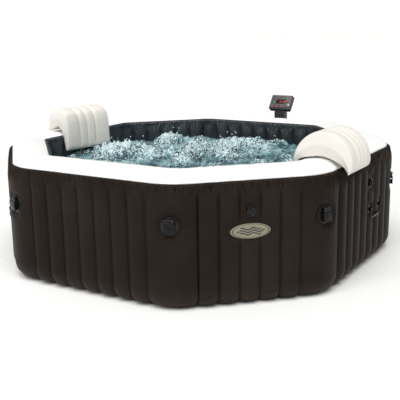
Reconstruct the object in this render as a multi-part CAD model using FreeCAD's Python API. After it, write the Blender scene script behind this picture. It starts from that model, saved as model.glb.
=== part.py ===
import FreeCAD, Part
import math
import os

from FreeCAD import Vector, Placement, Rotation

# Inflatable octagonal hot tub with a pump and heater base, two headrests and wall fittings.
# Millimetres. +Z is up, the origin is on the ground at the centre of the tub, and the short
# front side faces -Y. Facets are numbered anticlockwise from the front: even ones are short.

# --- driving dimensions of the tub ---
BEAM_PITCH = 101.5        # spacing of the vertical air beams
LONG_BEAMS = 7            # air beams on a long side
SHORT_BEAMS = 5           # air beams on a short side
CORNER_RUN = 138.0        # from a side's last beam weld to the sharp corner
CORNER_R = 300.0          # outer corner radius
WALL = 220.0              # thickness of the air wall
RIM_H = 660.0             # top of the white rim
SKIN = 3.0                # laminated PVC skin
FOOT_R = 90.0             # curve at the foot of the wall
SHOULDER_Z = 540.0        # where the outer skin starts to lean in
SHOULDER_IN = 18.0        # how far it leans in at the rim seam
SEAM_OUT_Z = 612.0        # height of the outer rim seam
SEAM_IN_Z = 645.0         # height of the inner rim seam
SEAM_IN_LEAN = 12.0       # how far the inner skin leans away from the water at its seam
WELD_R = 9.0              # groove along each beam weld
WELD_DEPTH = 1.6
WEB_T = 1.5               # fibre web between the skins
WEB_FOOT_Z = 110.0        # lowest point of the webs
WEB_TOP_Z = 530.0
FLOOR_T = 3.0

# --- wall fittings ---
VALVE_Z = 468.0           # inflation valves on the outer wall
VALVE_R = 29.0            # welded flange
VALVE_FLANGE_T = 3.0
VALVE_BORE = 15.0         # the body's hole in the skin
VALVE_TUBE_T = 3.0
VALVE_TUBE = 34.0         # how far the body reaches into the wall
VALVE_CAP_R = 23.0
VALVE_CAP_T = 8.0
VALVE_GRIP_T = 6.0        # bar across the cap
VALVE_GRIP = 5.7          # how far it stands out of the cap
BADGE_Z = 371.0           # oval badge under the front valve
BADGE_W = 200.0
BADGE_H = 75.0
BADGE_T = 2.5
BUCKLE_Z = 445.0          # pivot of the cover buckles, one on each corner
PATCH_R = 46.0            # round welded patches
PATCH_DROP = 30.0         # from the pivot down to the patch's middle
PATCH_T = 3.0
BAR_R = 3.5               # pivot bar
BAR_OUT = 15.0            # its distance from the wall
LUG_T = 5.0               # plates that hold it
LUG_H = 14.0
BUCKLE_W = 52.0
BUCKLE_H = 46.0
BUCKLE_T = 18.0
BUCKLE_STRAP = 14.0       # webbing between the pivot bar and the buckle
WEBBING_W = 38.0
WEBBING_T = 2.4
SOCKET_W = 40.0           # mouth of the buckle
SOCKET_T = 9.0
SOCKET_ROOF = 14.0        # solid part above it
HANDLE_Z = 320.0          # pivot of the carrying handles
HANDLE_W = 150.0
HANDLE_OUT = 16.0         # pivot's distance from the wall
HANDLE_DROP = 46.0
HANDLE_R = 8.0
HANDLE_EYE_R = 6.5
HANDLE_PIN_R = 3.0
HANDLE_LEG = 8.0          # square section of the legs
HANDLE_PAD_R = 24.0       # welded pads
HANDLE_PAD_T = 4.0
HANDLE_LUG_W = 18.0       # fork on each pad
HANDLE_FORK = 9.0         # gap in the fork
HANDLE_FACETS = {1: 152.25, 2: 0.0, 5: -152.25, 6: 0.0}   # facet: offset to the right, seen from outside
DRAIN_Z = 120.0
DRAIN_R = 24.0
DRAIN_BORE = 16.0
DRAIN_TUBE_T = 3.0
DRAIN_FLANGE_T = 4.0
DRAIN_SPOUT = 14.0        # how far the spout stands out of its flange
DRAIN_CAP_T = 18.0
RUN_CLEAR = 0.3           # running clearance of the plastic pivots

# --- jets and plumbing in the wall ---
PORT_R = 27.0             # threaded water ports through the wall
PORT_T = 4.0
PORT_FLANGE = 9.0         # how far its flanges reach round it
FLANGE_T = 4.0
PORT_END = 32.0           # how far a port stands out of the outer wall
PIPE_ENGAGE = 22.0        # a base pipe's length inside a port
PIPE_WALL = 3.0
WATER_PORT_Z = 190.0
WATER_PORT_SPREAD = BEAM_PITCH
AIR_PORT_Z = 480.0
JET_Z = 300.0
JET_R = 34.0
JET_BORE = 11.0
JET_SEAT = 11.0           # from the bore to the recess that the nozzle turns in
JET_SEAT_DEPTH = 20.0
JET_BODY_R = 26.0         # body behind the jet's flange
JET_BODY_L = 60.0
JET_TAIL_R = 24.0
JET_HOSE_HALF = 14.0      # half the width of its hose socket
JET_FACETS = (1, 3, 5, 7)
HOSE_R = 14.0             # supply ring in the foot of the wall
HOSE_WALL = 2.0
HOSE_Z = 60.0
RISER_R = 9.0             # hoses from the ring up to the jets
BUBBLE_R = 22.0           # welded air channel round the floor
BUBBLE_END = 40.0         # it stops this short of the corners
FILTER_R = 62.0
FILTER_GAP = 8.0          # between housing and inner wall
FILTER_WALL = 3.0
FILTER_Z = 170.0
FILTER_H = 230.0
FILTER_PLACE = 2.6 * BEAM_PITCH

# --- headrests ---
REST_RIGHT_LEN = 265.0    # along the rim
REST_LEFT_LEN = 340.0
REST_GAP = 3.0            # above the rim
REST_OUT = 64.0           # how far the right one's arch reaches past the outer wall
REST_IN = 31.0            # and past the inner wall
REST_HOOK = 118.0         # the left one's outer lip rests this far in from the outer wall
REST_TURN = -10.0         # degrees that the left one sits askew
REST_RIGHT_SIDE = 1
REST_LEFT_SIDE = 5
REST_RIGHT = -227.5       # places of their middles along those sides
REST_LEFT = 60.0

# --- pump and heater base ---
BASE_FACET = 3
BASE_GAP = 48.0           # between tub and housing
BASE_W = 450.0
BASE_D = 330.0
BASE_H = 552.0
BASE_WALL = 3.5
BASE_R = 45.0
FOOT_H = 14.0
DECK_T = 22.0
TRAY_H = 26.0
VENTS = 10
VENT_Z = 120.0
VENT_PITCH = 26.0
VENT_W = 220.0
VENT_H = 12.0
SCREW_R = 5.0
SCREW_IN = 30.0
PANEL_OUT = 115.0         # the control panel's post, out from the tub's wall
POST_TOP = 694.0          # middle of the panel's lower edge
PANEL_W = 165.0
PANEL_H = 116.0
PANEL_T = 30.0
PANEL_WALL = 2.5
PANEL_LEAN = 36.0         # degrees that the face leans back from upright
PANEL_R = 9.0             # corners of the face
POST_R = 26.0             # swivelling post
NECK_W = 80.0             # flat neck between post and panel
NECK_T = 44.0
BOARD_T = 1.6
BUTTON_R = 6.5
BUTTON_T = 8.0
BUTTON_COLLAR = 2.0       # flange that keeps a button in
BUTTON_TRAVEL = 1.5
WINDOW_W = 64.0
WINDOW_H = 26.0
WINDOW_UP = 4.0           # its middle above the face's middle
BUTTONS = {               # place of each button on the panel's face: right, up
    "power": (-50.0, -4.0), "jets": (42.0, 34.0), "bubbles": (65.0, 30.0), "heater": (46.0, 6.0),
    "units": (64.0, -20.0), "up": (-26.0, -36.0), "down": (8.0, -36.0), "filter": (-60.0, -36.0)}

# --- inside the base ---
PUMP_IN = 150.0           # pump's middle behind the front shell
PUMP_R = 58.0
PUMP_W = 46.0
PUMP_WALL = 8.0
MOTOR_R = 44.0
MOTOR_H = 96.0
MOTOR_WALL = 3.0
SHAFT_R = 9.0
IMPELLER_R = 44.0
IMPELLER_T = 4.0
VANES = 6
ROTOR_R = 30.0
ROTOR_H = 70.0
FAN_IN = 120.0            # blower's middle behind the front shell
FAN_DROP = 40.0           # and below the air port
SCROLL_R = 64.0
SCROLL_W = 60.0
SCROLL_WALL = 4.0
SCROLL_EYE = 30.0
FAN_R = 54.0
FAN_T = 3.0
FAN_HUB_R = 10.0
BLADES = 12
HEATER_R = 32.0
HEATER_L = 180.0
HEATER_IN = 60.0
ELEMENT_R = 12.0
POWER_BOX = (60.0, 240.0, 320.0, 460.0)   # in, in, up, up
POWER_BOX_D = 66.0

TAN = math.tan(math.radians(22.5))
ROOT2 = math.sqrt(2.0)
SIDE = {True: LONG_BEAMS * BEAM_PITCH + 2 * CORNER_RUN, False: SHORT_BEAMS * BEAM_PITCH + 2 * CORNER_RUN}
X, Y, Z = Vector(1, 0, 0), Vector(0, 1, 0), Vector(0, 0, 1)
parts = {}


def is_long(k):
    return k % 2 == 1


def side(k):
    """Length of a side between sharp corners."""
    return SIDE[is_long(k)]


def apothem(k):
    """Distance from the tub's axis to the widest line of side k's outer wall."""
    return (side(k) + SIDE[not is_long(k)] * ROOT2) / 2


def facet_angle(k):
    return -90.0 + 45.0 * k


def on_facet(shape, k, out=0.0, right=0.0, up=0.0):
    """Puts a shape modelled with X outward, Y to the right and Z up onto side k."""
    turn = Rotation(Z, facet_angle(k))
    move = turn.multVec(Vector(apothem(k) + out, right, up))
    moved = shape.copy()
    moved.Placement = Placement(move, turn).multiply(shape.Placement)
    return moved


def corner_centre(k):
    """Centre of the rounding between side k and the next one."""
    a, b = math.radians(facet_angle(k)), math.radians(facet_angle(k + 1))
    p, q = apothem(k) - CORNER_R, apothem(k + 1) - CORNER_R
    det = math.cos(a) * math.sin(b) - math.sin(a) * math.cos(b)
    return Vector((p * math.sin(b) - q * math.sin(a)) / det, (q * math.cos(a) - p * math.cos(b)) / det, 0)


def on_corner(shape, k, out=0.0, up=0.0):
    """Puts a shape modelled with X outward onto the rounded corner after side k."""
    turn = Rotation(Z, facet_angle(k) + 22.5)
    move = corner_centre(k) + turn.multVec(Vector(CORNER_R + out, 0, up))
    moved = shape.copy()
    moved.Placement = Placement(move, turn).multiply(shape.Placement)
    return moved


def box(x0, x1, y0, y1, z0, z1):
    return Part.makeBox(x1 - x0, y1 - y0, z1 - z0, Vector(x0, y0, z0))


def rod(radius, length, base, axis):
    return Part.makeCylinder(radius, length, base, axis)


def tube(radius, bore, length, base, axis):
    return rod(radius, length, base, axis).cut(rod(bore, length, base, axis))


def fillet(solid, radius, chosen):
    return solid.makeFillet(radius, [e for e in solid.Edges if chosen(e)])


def points_along(edge, axis):
    """True for an edge that starts out along X, Y or Z: 0, 1 or 2."""
    return abs(edge.tangentAt(edge.FirstParameter)[axis]) > 0.9


def arc(a, b, c):
    return Part.Arc(Vector(a[0], 0, a[1]), Vector(b[0], 0, b[1]), Vector(c[0], 0, c[1])).toShape()


def line(a, b):
    return Part.makeLine(Vector(a[0], 0, a[1]), Vector(b[0], 0, b[1]))


def on_circle(centre, radius, degrees):
    return (centre[0] + radius * math.cos(math.radians(degrees)),
            centre[1] + radius * math.sin(math.radians(degrees)))


def section(*edges):
    """A face in the upright plane through a side's outward line."""
    return Part.Face(Part.Wire(Part.__sortEdges__(list(edges))))


def straight_length(k):
    return side(k) - 2 * CORNER_R * TAN


def ring_panel(face, k):
    """The stretch of a ring with this section that belongs to side k, from corner to corner."""
    half = straight_length(k) / 2
    at_end = face.translated(Vector(apothem(k), half, 0))
    at_start = face.translated(Vector(apothem(k), -half, 0))
    pivot = apothem(k) - CORNER_R
    body = at_start.extrude(Vector(0, 2 * half, 0))
    body = body.fuse(at_end.revolve(Vector(pivot, half, 0), Z, 22.5))
    body = body.fuse(at_start.revolve(Vector(pivot, -half, 0), Z, -22.5))
    return body.removeSplitter().rotated(Vector(), Z, facet_angle(k)).Solids[0]


def weld_places(k):
    """Offsets of the beam welds along side k."""
    beams = LONG_BEAMS if is_long(k) else SHORT_BEAMS
    return [(i - beams / 2) * BEAM_PITCH for i in range(beams + 1)]


def ring_plate(offset, thickness, z):
    """A rounded octagon plate whose edge is offset from the outer wall."""
    edges = []
    for k in range(8):
        half = straight_length(k) / 2
        turn = Rotation(Z, facet_angle(k))
        a = turn.multVec(Vector(apothem(k) + offset, -half, z))
        b = turn.multVec(Vector(apothem(k) + offset, half, z))
        middle = corner_centre(k) + Rotation(Z, facet_angle(k) + 22.5).multVec(
            Vector(CORNER_R + offset, 0, z))
        follow = Rotation(Z, facet_angle(k + 1))
        reach = -straight_length(k + 1) / 2
        c = follow.multVec(Vector(apothem(k + 1) + offset, reach, z))
        edges += [Part.makeLine(a, b), Part.Arc(b, middle, c).toShape()]
    return Part.Face(Part.Wire(edges)).extrude(Vector(0, 0, thickness))


# --- ports on the base's side: (right, up, through both skins), and valves: (side, right) ---
PORTS = [(-WATER_PORT_SPREAD, WATER_PORT_Z, True), (WATER_PORT_SPREAD, WATER_PORT_Z, True),
         (0.0, AIR_PORT_Z, False)]
VALVE_SPOTS = [(0, 0.0), (1, 0.8 * BEAM_PITCH)]
DRAIN_FACET = 4


def outer_profile():
    """Section of the dark outer skin, from the floor to the rim seam."""
    r = (SHOULDER_IN ** 2 + (SEAM_OUT_Z - SHOULDER_Z) ** 2) / (2 * SHOULDER_IN)
    lean = math.degrees(math.asin((SEAM_OUT_Z - SHOULDER_Z) / r))
    foot, top = (-FOOT_R, FOOT_R), (-r, SHOULDER_Z)
    edges = []
    for t in (0.0, SKIN):
        edges += [arc(on_circle(foot, FOOT_R - t, -90), on_circle(foot, FOOT_R - t, -45),
                      on_circle(foot, FOOT_R - t, 0)),
                  line((-t, FOOT_R), (-t, SHOULDER_Z)),
                  arc((-t, SHOULDER_Z), on_circle(top, r - t, lean / 2), on_circle(top, r - t, lean))]
    edges += [line((-FOOT_R, 0), (-FOOT_R, SKIN)),
              line(on_circle(top, r, lean), on_circle(top, r - SKIN, lean))]
    return section(*edges), on_circle(top, r, lean), on_circle(top, r - SKIN, lean)


def inner_profile():
    """Section of the dark inner skin, standing on the floor sheet."""
    height = SEAM_IN_Z - SHOULDER_Z
    r = (SEAM_IN_LEAN ** 2 + height ** 2) / (2 * SEAM_IN_LEAN)
    lean = math.degrees(math.asin(height / r))
    centre = (-WALL + r, SHOULDER_Z)
    a, b = (-WALL, FLOOR_T), (-WALL + SKIN, FLOOR_T)
    edges = [line(a, b), line(a, (-WALL, SHOULDER_Z)), line(b, (-WALL + SKIN, SHOULDER_Z))]
    ends = []
    for t in (0.0, SKIN):
        end = on_circle(centre, r - t, 180 - lean)
        edges.append(arc((-WALL + t, SHOULDER_Z), on_circle(centre, r - t, 180 - lean / 2), end))
        ends.append(end)
    edges.append(line(*ends))
    return section(*edges), ends[0], ends[1]


def rim_profile(outside, outside_in, inside, inside_in):
    """Section of the white rim: two arcs that meet at the crest, between the two seams."""
    crest_x = (outside[0] + inside[0]) / 2
    edges = []
    for t, a, b in ((0.0, outside, inside), (SKIN, outside_in, inside_in)):
        crest = (crest_x, RIM_H - t)
        for end in (a, b):
            dx, dz = end[0] - crest[0], crest[1] - end[1]
            r = (dx * dx + dz * dz) / (2 * dz)
            centre = (crest[0], crest[1] - r)
            reach = math.degrees(math.atan2(end[1] - centre[1], dx))
            edges.append(arc(crest, on_circle(centre, r, (90 + reach) / 2), end))
    edges += [line(outside, outside_in), line(inside, inside_in)]
    return section(*edges)


def through_wall(k, radius, right, up, wall=0.0):
    """A cutter for a round hole through one skin of side k: the outer one, or at -WALL the inner one."""
    return on_facet(rod(radius, 40, Vector(-20, 0, 0), X), k, wall, right, up)


def make_skins():
    outer, out_a, out_b = outer_profile()
    inner, in_a, in_b = inner_profile()
    rim = rim_profile(out_a, out_b, in_a, in_b)
    outer_panels, inner_panels, rim_panels = [], [], []
    for k in range(8):
        skin = ring_panel(outer, k)
        lining = ring_panel(inner, k)
        cuts, inner_cuts = [], []
        for s in weld_places(k):
            groove = rod(WELD_R, SHOULDER_Z - FOOT_R, Vector(WELD_R - WELD_DEPTH, s, FOOT_R), Z)
            cuts.append(on_facet(groove, k))
        if k == BASE_FACET:
            for right, up, both in PORTS:
                cuts.append(through_wall(k, PORT_R, right, up))
                if both:
                    inner_cuts.append(through_wall(k, PORT_R, right, up, -WALL))
        for facet, right in VALVE_SPOTS:
            if facet == k:
                cuts.append(through_wall(k, VALVE_BORE, right, VALVE_Z))
        if k == DRAIN_FACET:
            cuts.append(through_wall(k, DRAIN_BORE, 0, DRAIN_Z))
            inner_cuts.append(through_wall(k, DRAIN_BORE, 0, DRAIN_Z, -WALL))
        if k in JET_FACETS:
            inner_cuts.append(through_wall(k, JET_BODY_R, 0, JET_Z, -WALL))
        outer_panels.append(skin.cut(cuts))
        inner_panels.append(lining.cut(inner_cuts) if inner_cuts else lining)
        rim_panels.append(ring_panel(rim, k))
    parts["outer_wall_skin"] = outer_panels
    parts["inner_wall_skin"] = inner_panels
    parts["rim_skin"] = rim_panels
    parts["floor_sheet"] = [ring_plate(-FOOT_R, FLOOR_T, 0)]


def make_webs():
    webs = []
    for k in range(8):
        for s in weld_places(k):
            web = box(-WALL + SKIN, -SKIN, -WEB_T / 2, WEB_T / 2, WEB_FOOT_Z, WEB_TOP_Z)
            webs.append(on_facet(web, k, 0, s))
    parts["tension_webs"] = webs


def make_valves():
    """Inflation valves and the drain: flanged bodies welded in the wall, each with a turning cap."""
    bodies = []
    seat = 2 * VALVE_FLANGE_T
    for n, (k, right) in enumerate(VALVE_SPOTS):
        body = rod(VALVE_R, VALVE_FLANGE_T, Vector(), X)
        body = body.fuse(rod(VALVE_BORE, VALVE_TUBE, Vector(-VALVE_TUBE, 0, 0), X))
        body = body.fuse(rod(VALVE_CAP_R, VALVE_FLANGE_T, Vector(VALVE_FLANGE_T, 0, 0), X))
        body = body.cut(rod(VALVE_BORE - VALVE_TUBE_T, 3 * VALVE_TUBE, Vector(-2 * VALVE_TUBE, 0, 0), X))
        bodies.append(on_facet(body, k, 0, right, VALVE_Z))
        front = seat + RUN_CLEAR + VALVE_CAP_T
        cap = rod(VALVE_CAP_R, VALVE_CAP_T, Vector(seat + RUN_CLEAR, 0, 0), X)
        cap = fillet(cap, 2.5, lambda e: e.CenterOfMass.x > front - 0.5)
        plug = VALVE_BORE - VALVE_TUBE_T - RUN_CLEAR
        cap = cap.fuse(rod(plug, seat + 7, Vector(-5, 0, 0), X))
        reach = 0.72 * VALVE_CAP_R
        half = VALVE_GRIP_T / 2
        cap = cap.fuse(box(front - 1, front + VALVE_GRIP, -half, half, -reach, reach))
        parts[f"valve_cap_{n + 1}"] = [on_facet(cap, k, 0, right, VALVE_Z)]
    inner_end = -WALL - DRAIN_FLANGE_T
    spout_end = DRAIN_FLANGE_T + DRAIN_SPOUT
    drain = rod(DRAIN_R, DRAIN_FLANGE_T, Vector(), X)
    drain = drain.fuse(rod(DRAIN_BORE, spout_end - inner_end, Vector(inner_end, 0, 0), X))
    drain = drain.fuse(rod(DRAIN_R, DRAIN_FLANGE_T, Vector(inner_end, 0, 0), X))
    drain = drain.cut(rod(DRAIN_BORE - DRAIN_TUBE_T, 2 * WALL, Vector(inner_end - 20, 0, 0), X))
    bodies.append(on_facet(drain, DRAIN_FACET, 0, 0, DRAIN_Z))
    parts["valve_bodies"] = bodies
    start = DRAIN_FLANGE_T + 1
    cap = rod(DRAIN_R, DRAIN_CAP_T, Vector(start, 0, 0), X)
    cap = cap.cut(rod(DRAIN_BORE + RUN_CLEAR, spout_end - start + RUN_CLEAR, Vector(start, 0, 0), X))
    for i in range(8):
        cap = cap.cut(rod(3, DRAIN_CAP_T, Vector(start, DRAIN_R + 1, 0), X).rotated(Vector(), X, i * 45))
    parts["drain_cap"] = [on_facet(cap, DRAIN_FACET, 0, 0, DRAIN_Z)]


def make_badge():
    ellipse = Part.Ellipse(Vector(), BADGE_W / 2, BADGE_H / 2).toShape()
    plate = Part.Face(Part.Wire([ellipse])).extrude(Vector(0, 0, BADGE_T))
    plate = fillet(plate, 0.8, lambda e: e.CenterOfMass.z > BADGE_T - 0.1)
    plate.Placement = Placement(Vector(), Rotation(Y, Z, X, "ZXY"))
    parts["oval_badge"] = [on_facet(plate, 0, 0, 0, BADGE_Z)]


def make_buckles():
    anchors = []
    span = BUCKLE_W / 2 - 1
    wall = tube(CORNER_R + PATCH_T, CORNER_R, 2 * PATCH_R, Vector(-CORNER_R, 0, -PATCH_R), Z)
    patch = wall.common(rod(PATCH_R, 2 * PATCH_R, Vector(-PATCH_R, 0, 0), X))
    patch = patch.translated(Vector(0, 0, -PATCH_DROP))
    lugs = [box(0, BAR_OUT + LUG_T, y, y + LUG_T, -LUG_H / 2, LUG_H / 2) for y in (-span, span - LUG_T)]
    lugs = [lug.cut(rod(CORNER_R, 20, Vector(-CORNER_R, 0, -10), Z)) for lug in lugs]
    anchor = patch.fuse(lugs).fuse(rod(BAR_R, 2 * span, Vector(BAR_OUT, -span, 0), Y))
    for k in range(8):
        anchors.append(on_corner(anchor, k, 0, BUCKLE_Z))
        parts[f"cover_buckle_{k + 1}"] = [on_corner(buckle(), k, 0, BUCKLE_Z)]
    parts["buckle_anchors"] = anchors


def buckle():
    """Webbing loop round the pivot bar, and the socket half of a side-release buckle hanging on it."""
    half_web = WEBBING_W / 2
    bore = BAR_R + RUN_CLEAR
    low = -BUCKLE_STRAP - BUCKLE_H
    loop = rod(bore + WEBBING_T, WEBBING_W, Vector(BAR_OUT, -half_web, 0), Y)
    strap = box(BAR_OUT - WEBBING_T, BAR_OUT + WEBBING_T, -half_web, half_web, -BUCKLE_STRAP, 0)
    body = box(BAR_OUT - BUCKLE_T / 2, BAR_OUT + BUCKLE_T / 2, -BUCKLE_W / 2, BUCKLE_W / 2,
               low, -BUCKLE_STRAP)
    body = fillet(body, 5, lambda e: not points_along(e, 0))
    slot = box(BAR_OUT - SOCKET_T / 2, BAR_OUT + SOCKET_T / 2, -SOCKET_W / 2, SOCKET_W / 2,
               low - 1, -BUCKLE_STRAP - SOCKET_ROOF)
    side_gap = box(BAR_OUT - SOCKET_T / 2 - 0.5, BAR_OUT + SOCKET_T / 2 + 0.5, -BUCKLE_W, BUCKLE_W,
                   -BUCKLE_STRAP - 0.62 * BUCKLE_H, -BUCKLE_STRAP - 0.25 * BUCKLE_H)
    solid = loop.fuse(strap).cut(rod(bore, WEBBING_W, Vector(BAR_OUT, -half_web, 0), Y))
    return solid.fuse(body.cut([slot, side_gap]))


def make_handles():
    """Forked mounts welded to the wall, and a swinging bail handle in each pair."""
    mounts = []
    half = HANDLE_W / 2
    lug, fork = HANDLE_LUG_W / 2, HANDLE_FORK / 2
    for n, (k, right) in enumerate(sorted(HANDLE_FACETS.items())):
        for y in (-half, half):
            mount = box(HANDLE_PAD_T, HANDLE_OUT + 7, y - lug, y + lug, -lug, lug)
            mount = mount.cut(box(HANDLE_PAD_T, HANDLE_OUT + 10, y - fork, y + fork, -lug - 1, lug + 1))
            mount = mount.fuse(rod(HANDLE_PAD_R, HANDLE_PAD_T, Vector(0, y, 0), X))
            mount = mount.fuse(rod(HANDLE_PIN_R, HANDLE_LUG_W, Vector(HANDLE_OUT, y - lug, 0), Y))
            mounts.append(on_facet(mount, k, 0, right, HANDLE_Z))
        parts[f"carry_handle_{n + 1}"] = [on_facet(handle(half), k, 0, right, HANDLE_Z)]
    parts["handle_mounts"] = mounts


def handle(half):
    """U-shaped bail: two flat eyes, two legs and a thick moulded grip."""
    leg = HANDLE_LEG / 2
    grip = rod(HANDLE_R, HANDLE_W + HANDLE_LEG, Vector(HANDLE_OUT, -half - leg, -HANDLE_DROP), Y)
    ends = []
    bores = []
    for y in (-half, half):
        ends.append(rod(HANDLE_EYE_R, HANDLE_LEG, Vector(HANDLE_OUT, y - leg, 0), Y))
        ends.append(box(HANDLE_OUT - leg, HANDLE_OUT + leg, y - leg, y + leg, -HANDLE_DROP, 0))
        bores.append(rod(HANDLE_PIN_R + RUN_CLEAR, 20, Vector(HANDLE_OUT, y - 10, 0), Y))
    return grip.fuse(ends).cut(bores)


def make_plumbing():
    """Water ports, air port, jets and their supply hose, and the bubble channel."""
    ports = []
    for right, up, both in PORTS:
        back = -WALL - 2 * FLANGE_T if both else -WALL + 40
        port = rod(PORT_R, PORT_END - back, Vector(back, 0, 0), X)
        port = port.fuse(rod(PORT_R + PORT_FLANGE, FLANGE_T, Vector(), X))
        if both:
            port = port.fuse(rod(PORT_R + PORT_FLANGE, FLANGE_T, Vector(-WALL - FLANGE_T, 0, 0), X))
        port = port.cut(rod(PORT_R - PORT_T, 2 * WALL, Vector(back - 10, 0, 0), X))
        ports.append(on_facet(port, BASE_FACET, 0, right, up))
        if both:
            ports.append(on_facet(strainer(), BASE_FACET, -WALL - FLANGE_T, right, up))
    parts["wall_ports"] = ports
    hose = section_ring((-WALL / 2, HOSE_Z), HOSE_R, HOSE_R - HOSE_WALL)
    hoses = [ring_panel(hose, k) for k in range(8)]
    housings = []
    for n, k in enumerate(JET_FACETS):
        riser_z = HOSE_Z + HOSE_R
        riser_h = JET_Z - JET_TAIL_R - riser_z
        riser = tube(RISER_R, RISER_R - HOSE_WALL, riser_h, Vector(-WALL / 2, 0, riser_z), Z)
        hoses.append(on_facet(riser, k))
        tail = WALL / 2 + JET_HOSE_HALF - JET_BODY_L
        house = rod(JET_R, FLANGE_T, Vector(-WALL - FLANGE_T, 0, 0), X)
        house = house.fuse(rod(JET_BODY_R, JET_BODY_L, Vector(-WALL, 0, 0), X))
        house = house.fuse(rod(JET_TAIL_R, tail, Vector(-WALL + JET_BODY_L, 0, 0), X))
        house = house.fuse(box(-WALL / 2 - JET_HOSE_HALF, -WALL / 2 + JET_HOSE_HALF,
                               -JET_HOSE_HALF, JET_HOSE_HALF, -JET_TAIL_R, 0))
        seat = JET_SEAT_DEPTH + FLANGE_T
        house = house.cut(rod(JET_BORE + JET_SEAT, seat, Vector(-WALL - FLANGE_T, 0, 0), X))
        house = house.cut(rod(JET_HOSE_HALF / 2 - 1, WALL / 2 + 8, Vector(-WALL, 0, 0), X))
        housings.append(on_facet(house, k, 0, 0, JET_Z))
        parts[f"jet_nozzle_{n + 1}"] = [on_facet(jet_nozzle(), k, -WALL, 0, JET_Z)]
    parts["jet_hoses"] = hoses
    parts["jet_housings"] = housings
    channel = []
    for k in range(8):
        half = straight_length(k) / 2 - BUBBLE_END
        run = rod(BUBBLE_R, 2 * half, Vector(-WALL, -half, 0), Y)
        run = run.cut(rod(BUBBLE_R - SKIN, 2 * half - 8, Vector(-WALL, -half + 4, 0), Y))
        run = run.common(box(-WALL - BUBBLE_R, -WALL, -half, half, 0, BUBBLE_R))
        channel.append(on_facet(run, k, 0, 0, FLOOR_T))
    parts["bubble_channel"] = channel


def strainer():
    """Slotted dome over a water port on the pool side."""
    bore = PORT_R + PORT_FLANGE
    dome = rod(bore + 3, 26, Vector(-26, 0, 0), X)
    dome = dome.cut(rod(bore, 23, Vector(-23, 0, 0), X))
    for i in range(12):
        dome = dome.cut(box(-30, -10, 8, bore + 11, -2, 2).rotated(Vector(), X, i * 30))
    return dome


def section_ring(centre, radius, bore):
    outer = Part.Circle(Vector(centre[0], 0, centre[1]), Y, radius).toShape()
    inner = Part.Circle(Vector(centre[0], 0, centre[1]), Y, bore).toShape()
    return Part.Face(Part.Wire([outer])).cut(Part.Face(Part.Wire([inner]))).Faces[0]


def jet_nozzle():
    """Turning eyeball with an off-centre bore, domed on the water side."""
    radius = JET_BORE + JET_SEAT - RUN_CLEAR
    depth = JET_SEAT_DEPTH - RUN_CLEAR
    ball = rod(radius, depth + FLANGE_T, Vector(-FLANGE_T, 0, 0), X)
    ball = fillet(ball, 4, lambda e: e.CenterOfMass.x < 0.1 - FLANGE_T)
    return ball.cut(rod(JET_BORE, 60, Vector(-30, 0, 3), X))


def make_filter():
    """Cartridge housing hung on the inner wall beside the suction screen, with a lift-out core."""
    centre = -WALL - FILTER_R - FILTER_GAP
    house = tube(FILTER_R, FILTER_R - FILTER_WALL, FILTER_H, Vector(centre, 0, 0), Z)
    house = house.fuse(rod(FILTER_R, FILTER_WALL, Vector(centre, 0, 0), Z))
    for i in range(8):
        slot = box(FILTER_R - 10, FILTER_R + 5, -4, 4, 30, FILTER_H - 40)
        house = house.cut(slot.rotated(Vector(), Z, 22.5 + i * 45).translated(Vector(centre, 0, 0)))
    hanger = box(-WALL - FILTER_GAP - 10, -WALL, -30, 30, 40, FILTER_H - 40)
    house = house.fuse(hanger.cut(rod(FILTER_R - 1, FILTER_H, Vector(centre, 0, 0), Z)))
    parts["filter_housing"] = [on_facet(house, BASE_FACET, 0, FILTER_PLACE, FILTER_Z)]
    core = tube(FILTER_R - 9, 20, FILTER_H - 13, Vector(centre, 0, FILTER_WALL + 1), Z)
    lid = rod(FILTER_R, 8, Vector(centre, 0, FILTER_H + RUN_CLEAR), Z)
    lid = lid.fuse(rod(FILTER_R - FILTER_WALL - 1, 10, Vector(centre, 0, FILTER_H - 9), Z))
    lid = lid.fuse(box(centre - 40, centre + 40, -5, 5, FILTER_H + 8, FILTER_H + 20))
    parts["filter_cartridge"] = [on_facet(piece, BASE_FACET, 0, FILTER_PLACE, FILTER_Z)
                                 for piece in (core, lid)]


def straddling_outline():
    """Section of the right headrest: an arch over the rim, thick on top, with a tip each side."""
    crest = RIM_H + REST_GAP
    radius = (REST_OUT + WALL + REST_IN) / 2
    middle = (REST_OUT - radius, crest - 28)
    inner = -WALL - REST_IN
    over = [on_circle(middle, radius, a) for a in (-12, 8, 30, 52, 75, 98, 120, 142, 162, 180)]
    leg = [(inner - 1, crest - 70), (inner + 10, crest - 104), (-WALL - 10, crest - 82)]
    under = [(-WALL - 7, crest - 42), (-WALL + 6, crest - 10), (-WALL * 0.74, crest + 2),
             (-WALL / 2, crest + 8), (-60, crest + 1), (-14, crest - 18), (20, crest - 38), (38, crest - 62)]
    return over + leg + under


def hooked_outline():
    """Section of the left headrest: a short lip on the crest, and a long leg down inside the wall."""
    crest = RIM_H + REST_GAP
    lip = -REST_HOOK
    face = -WALL - 28
    over = [(lip, crest + 8), (lip - 5, crest + 66), (lip - 32, crest + 116), (lip - 80, crest + 142),
            (face - 22, crest + 120), (face - 46, crest + 78), (face - 55, crest + 20)]
    leg = [(face - 58, crest - 40), (face - 58, crest - 102), (face - 42, crest - 126),
           (face - 16, crest - 106)]
    under = [(face - 6, crest - 40), (face + 10, crest + 10), (face + 46, crest + 34),
             (lip - 24, crest + 12)]
    return over + leg + under


def pad(outline, length):
    curve = Part.BSplineCurve()
    curve.interpolate(Points=[Vector(x, 0, z) for x, z in outline], PeriodicFlag=True)
    face = Part.Face(Part.Wire([curve.toShape()]))
    return face.extrude(Vector(0, length, 0)).translated(Vector(0, -length / 2, 0))


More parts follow.
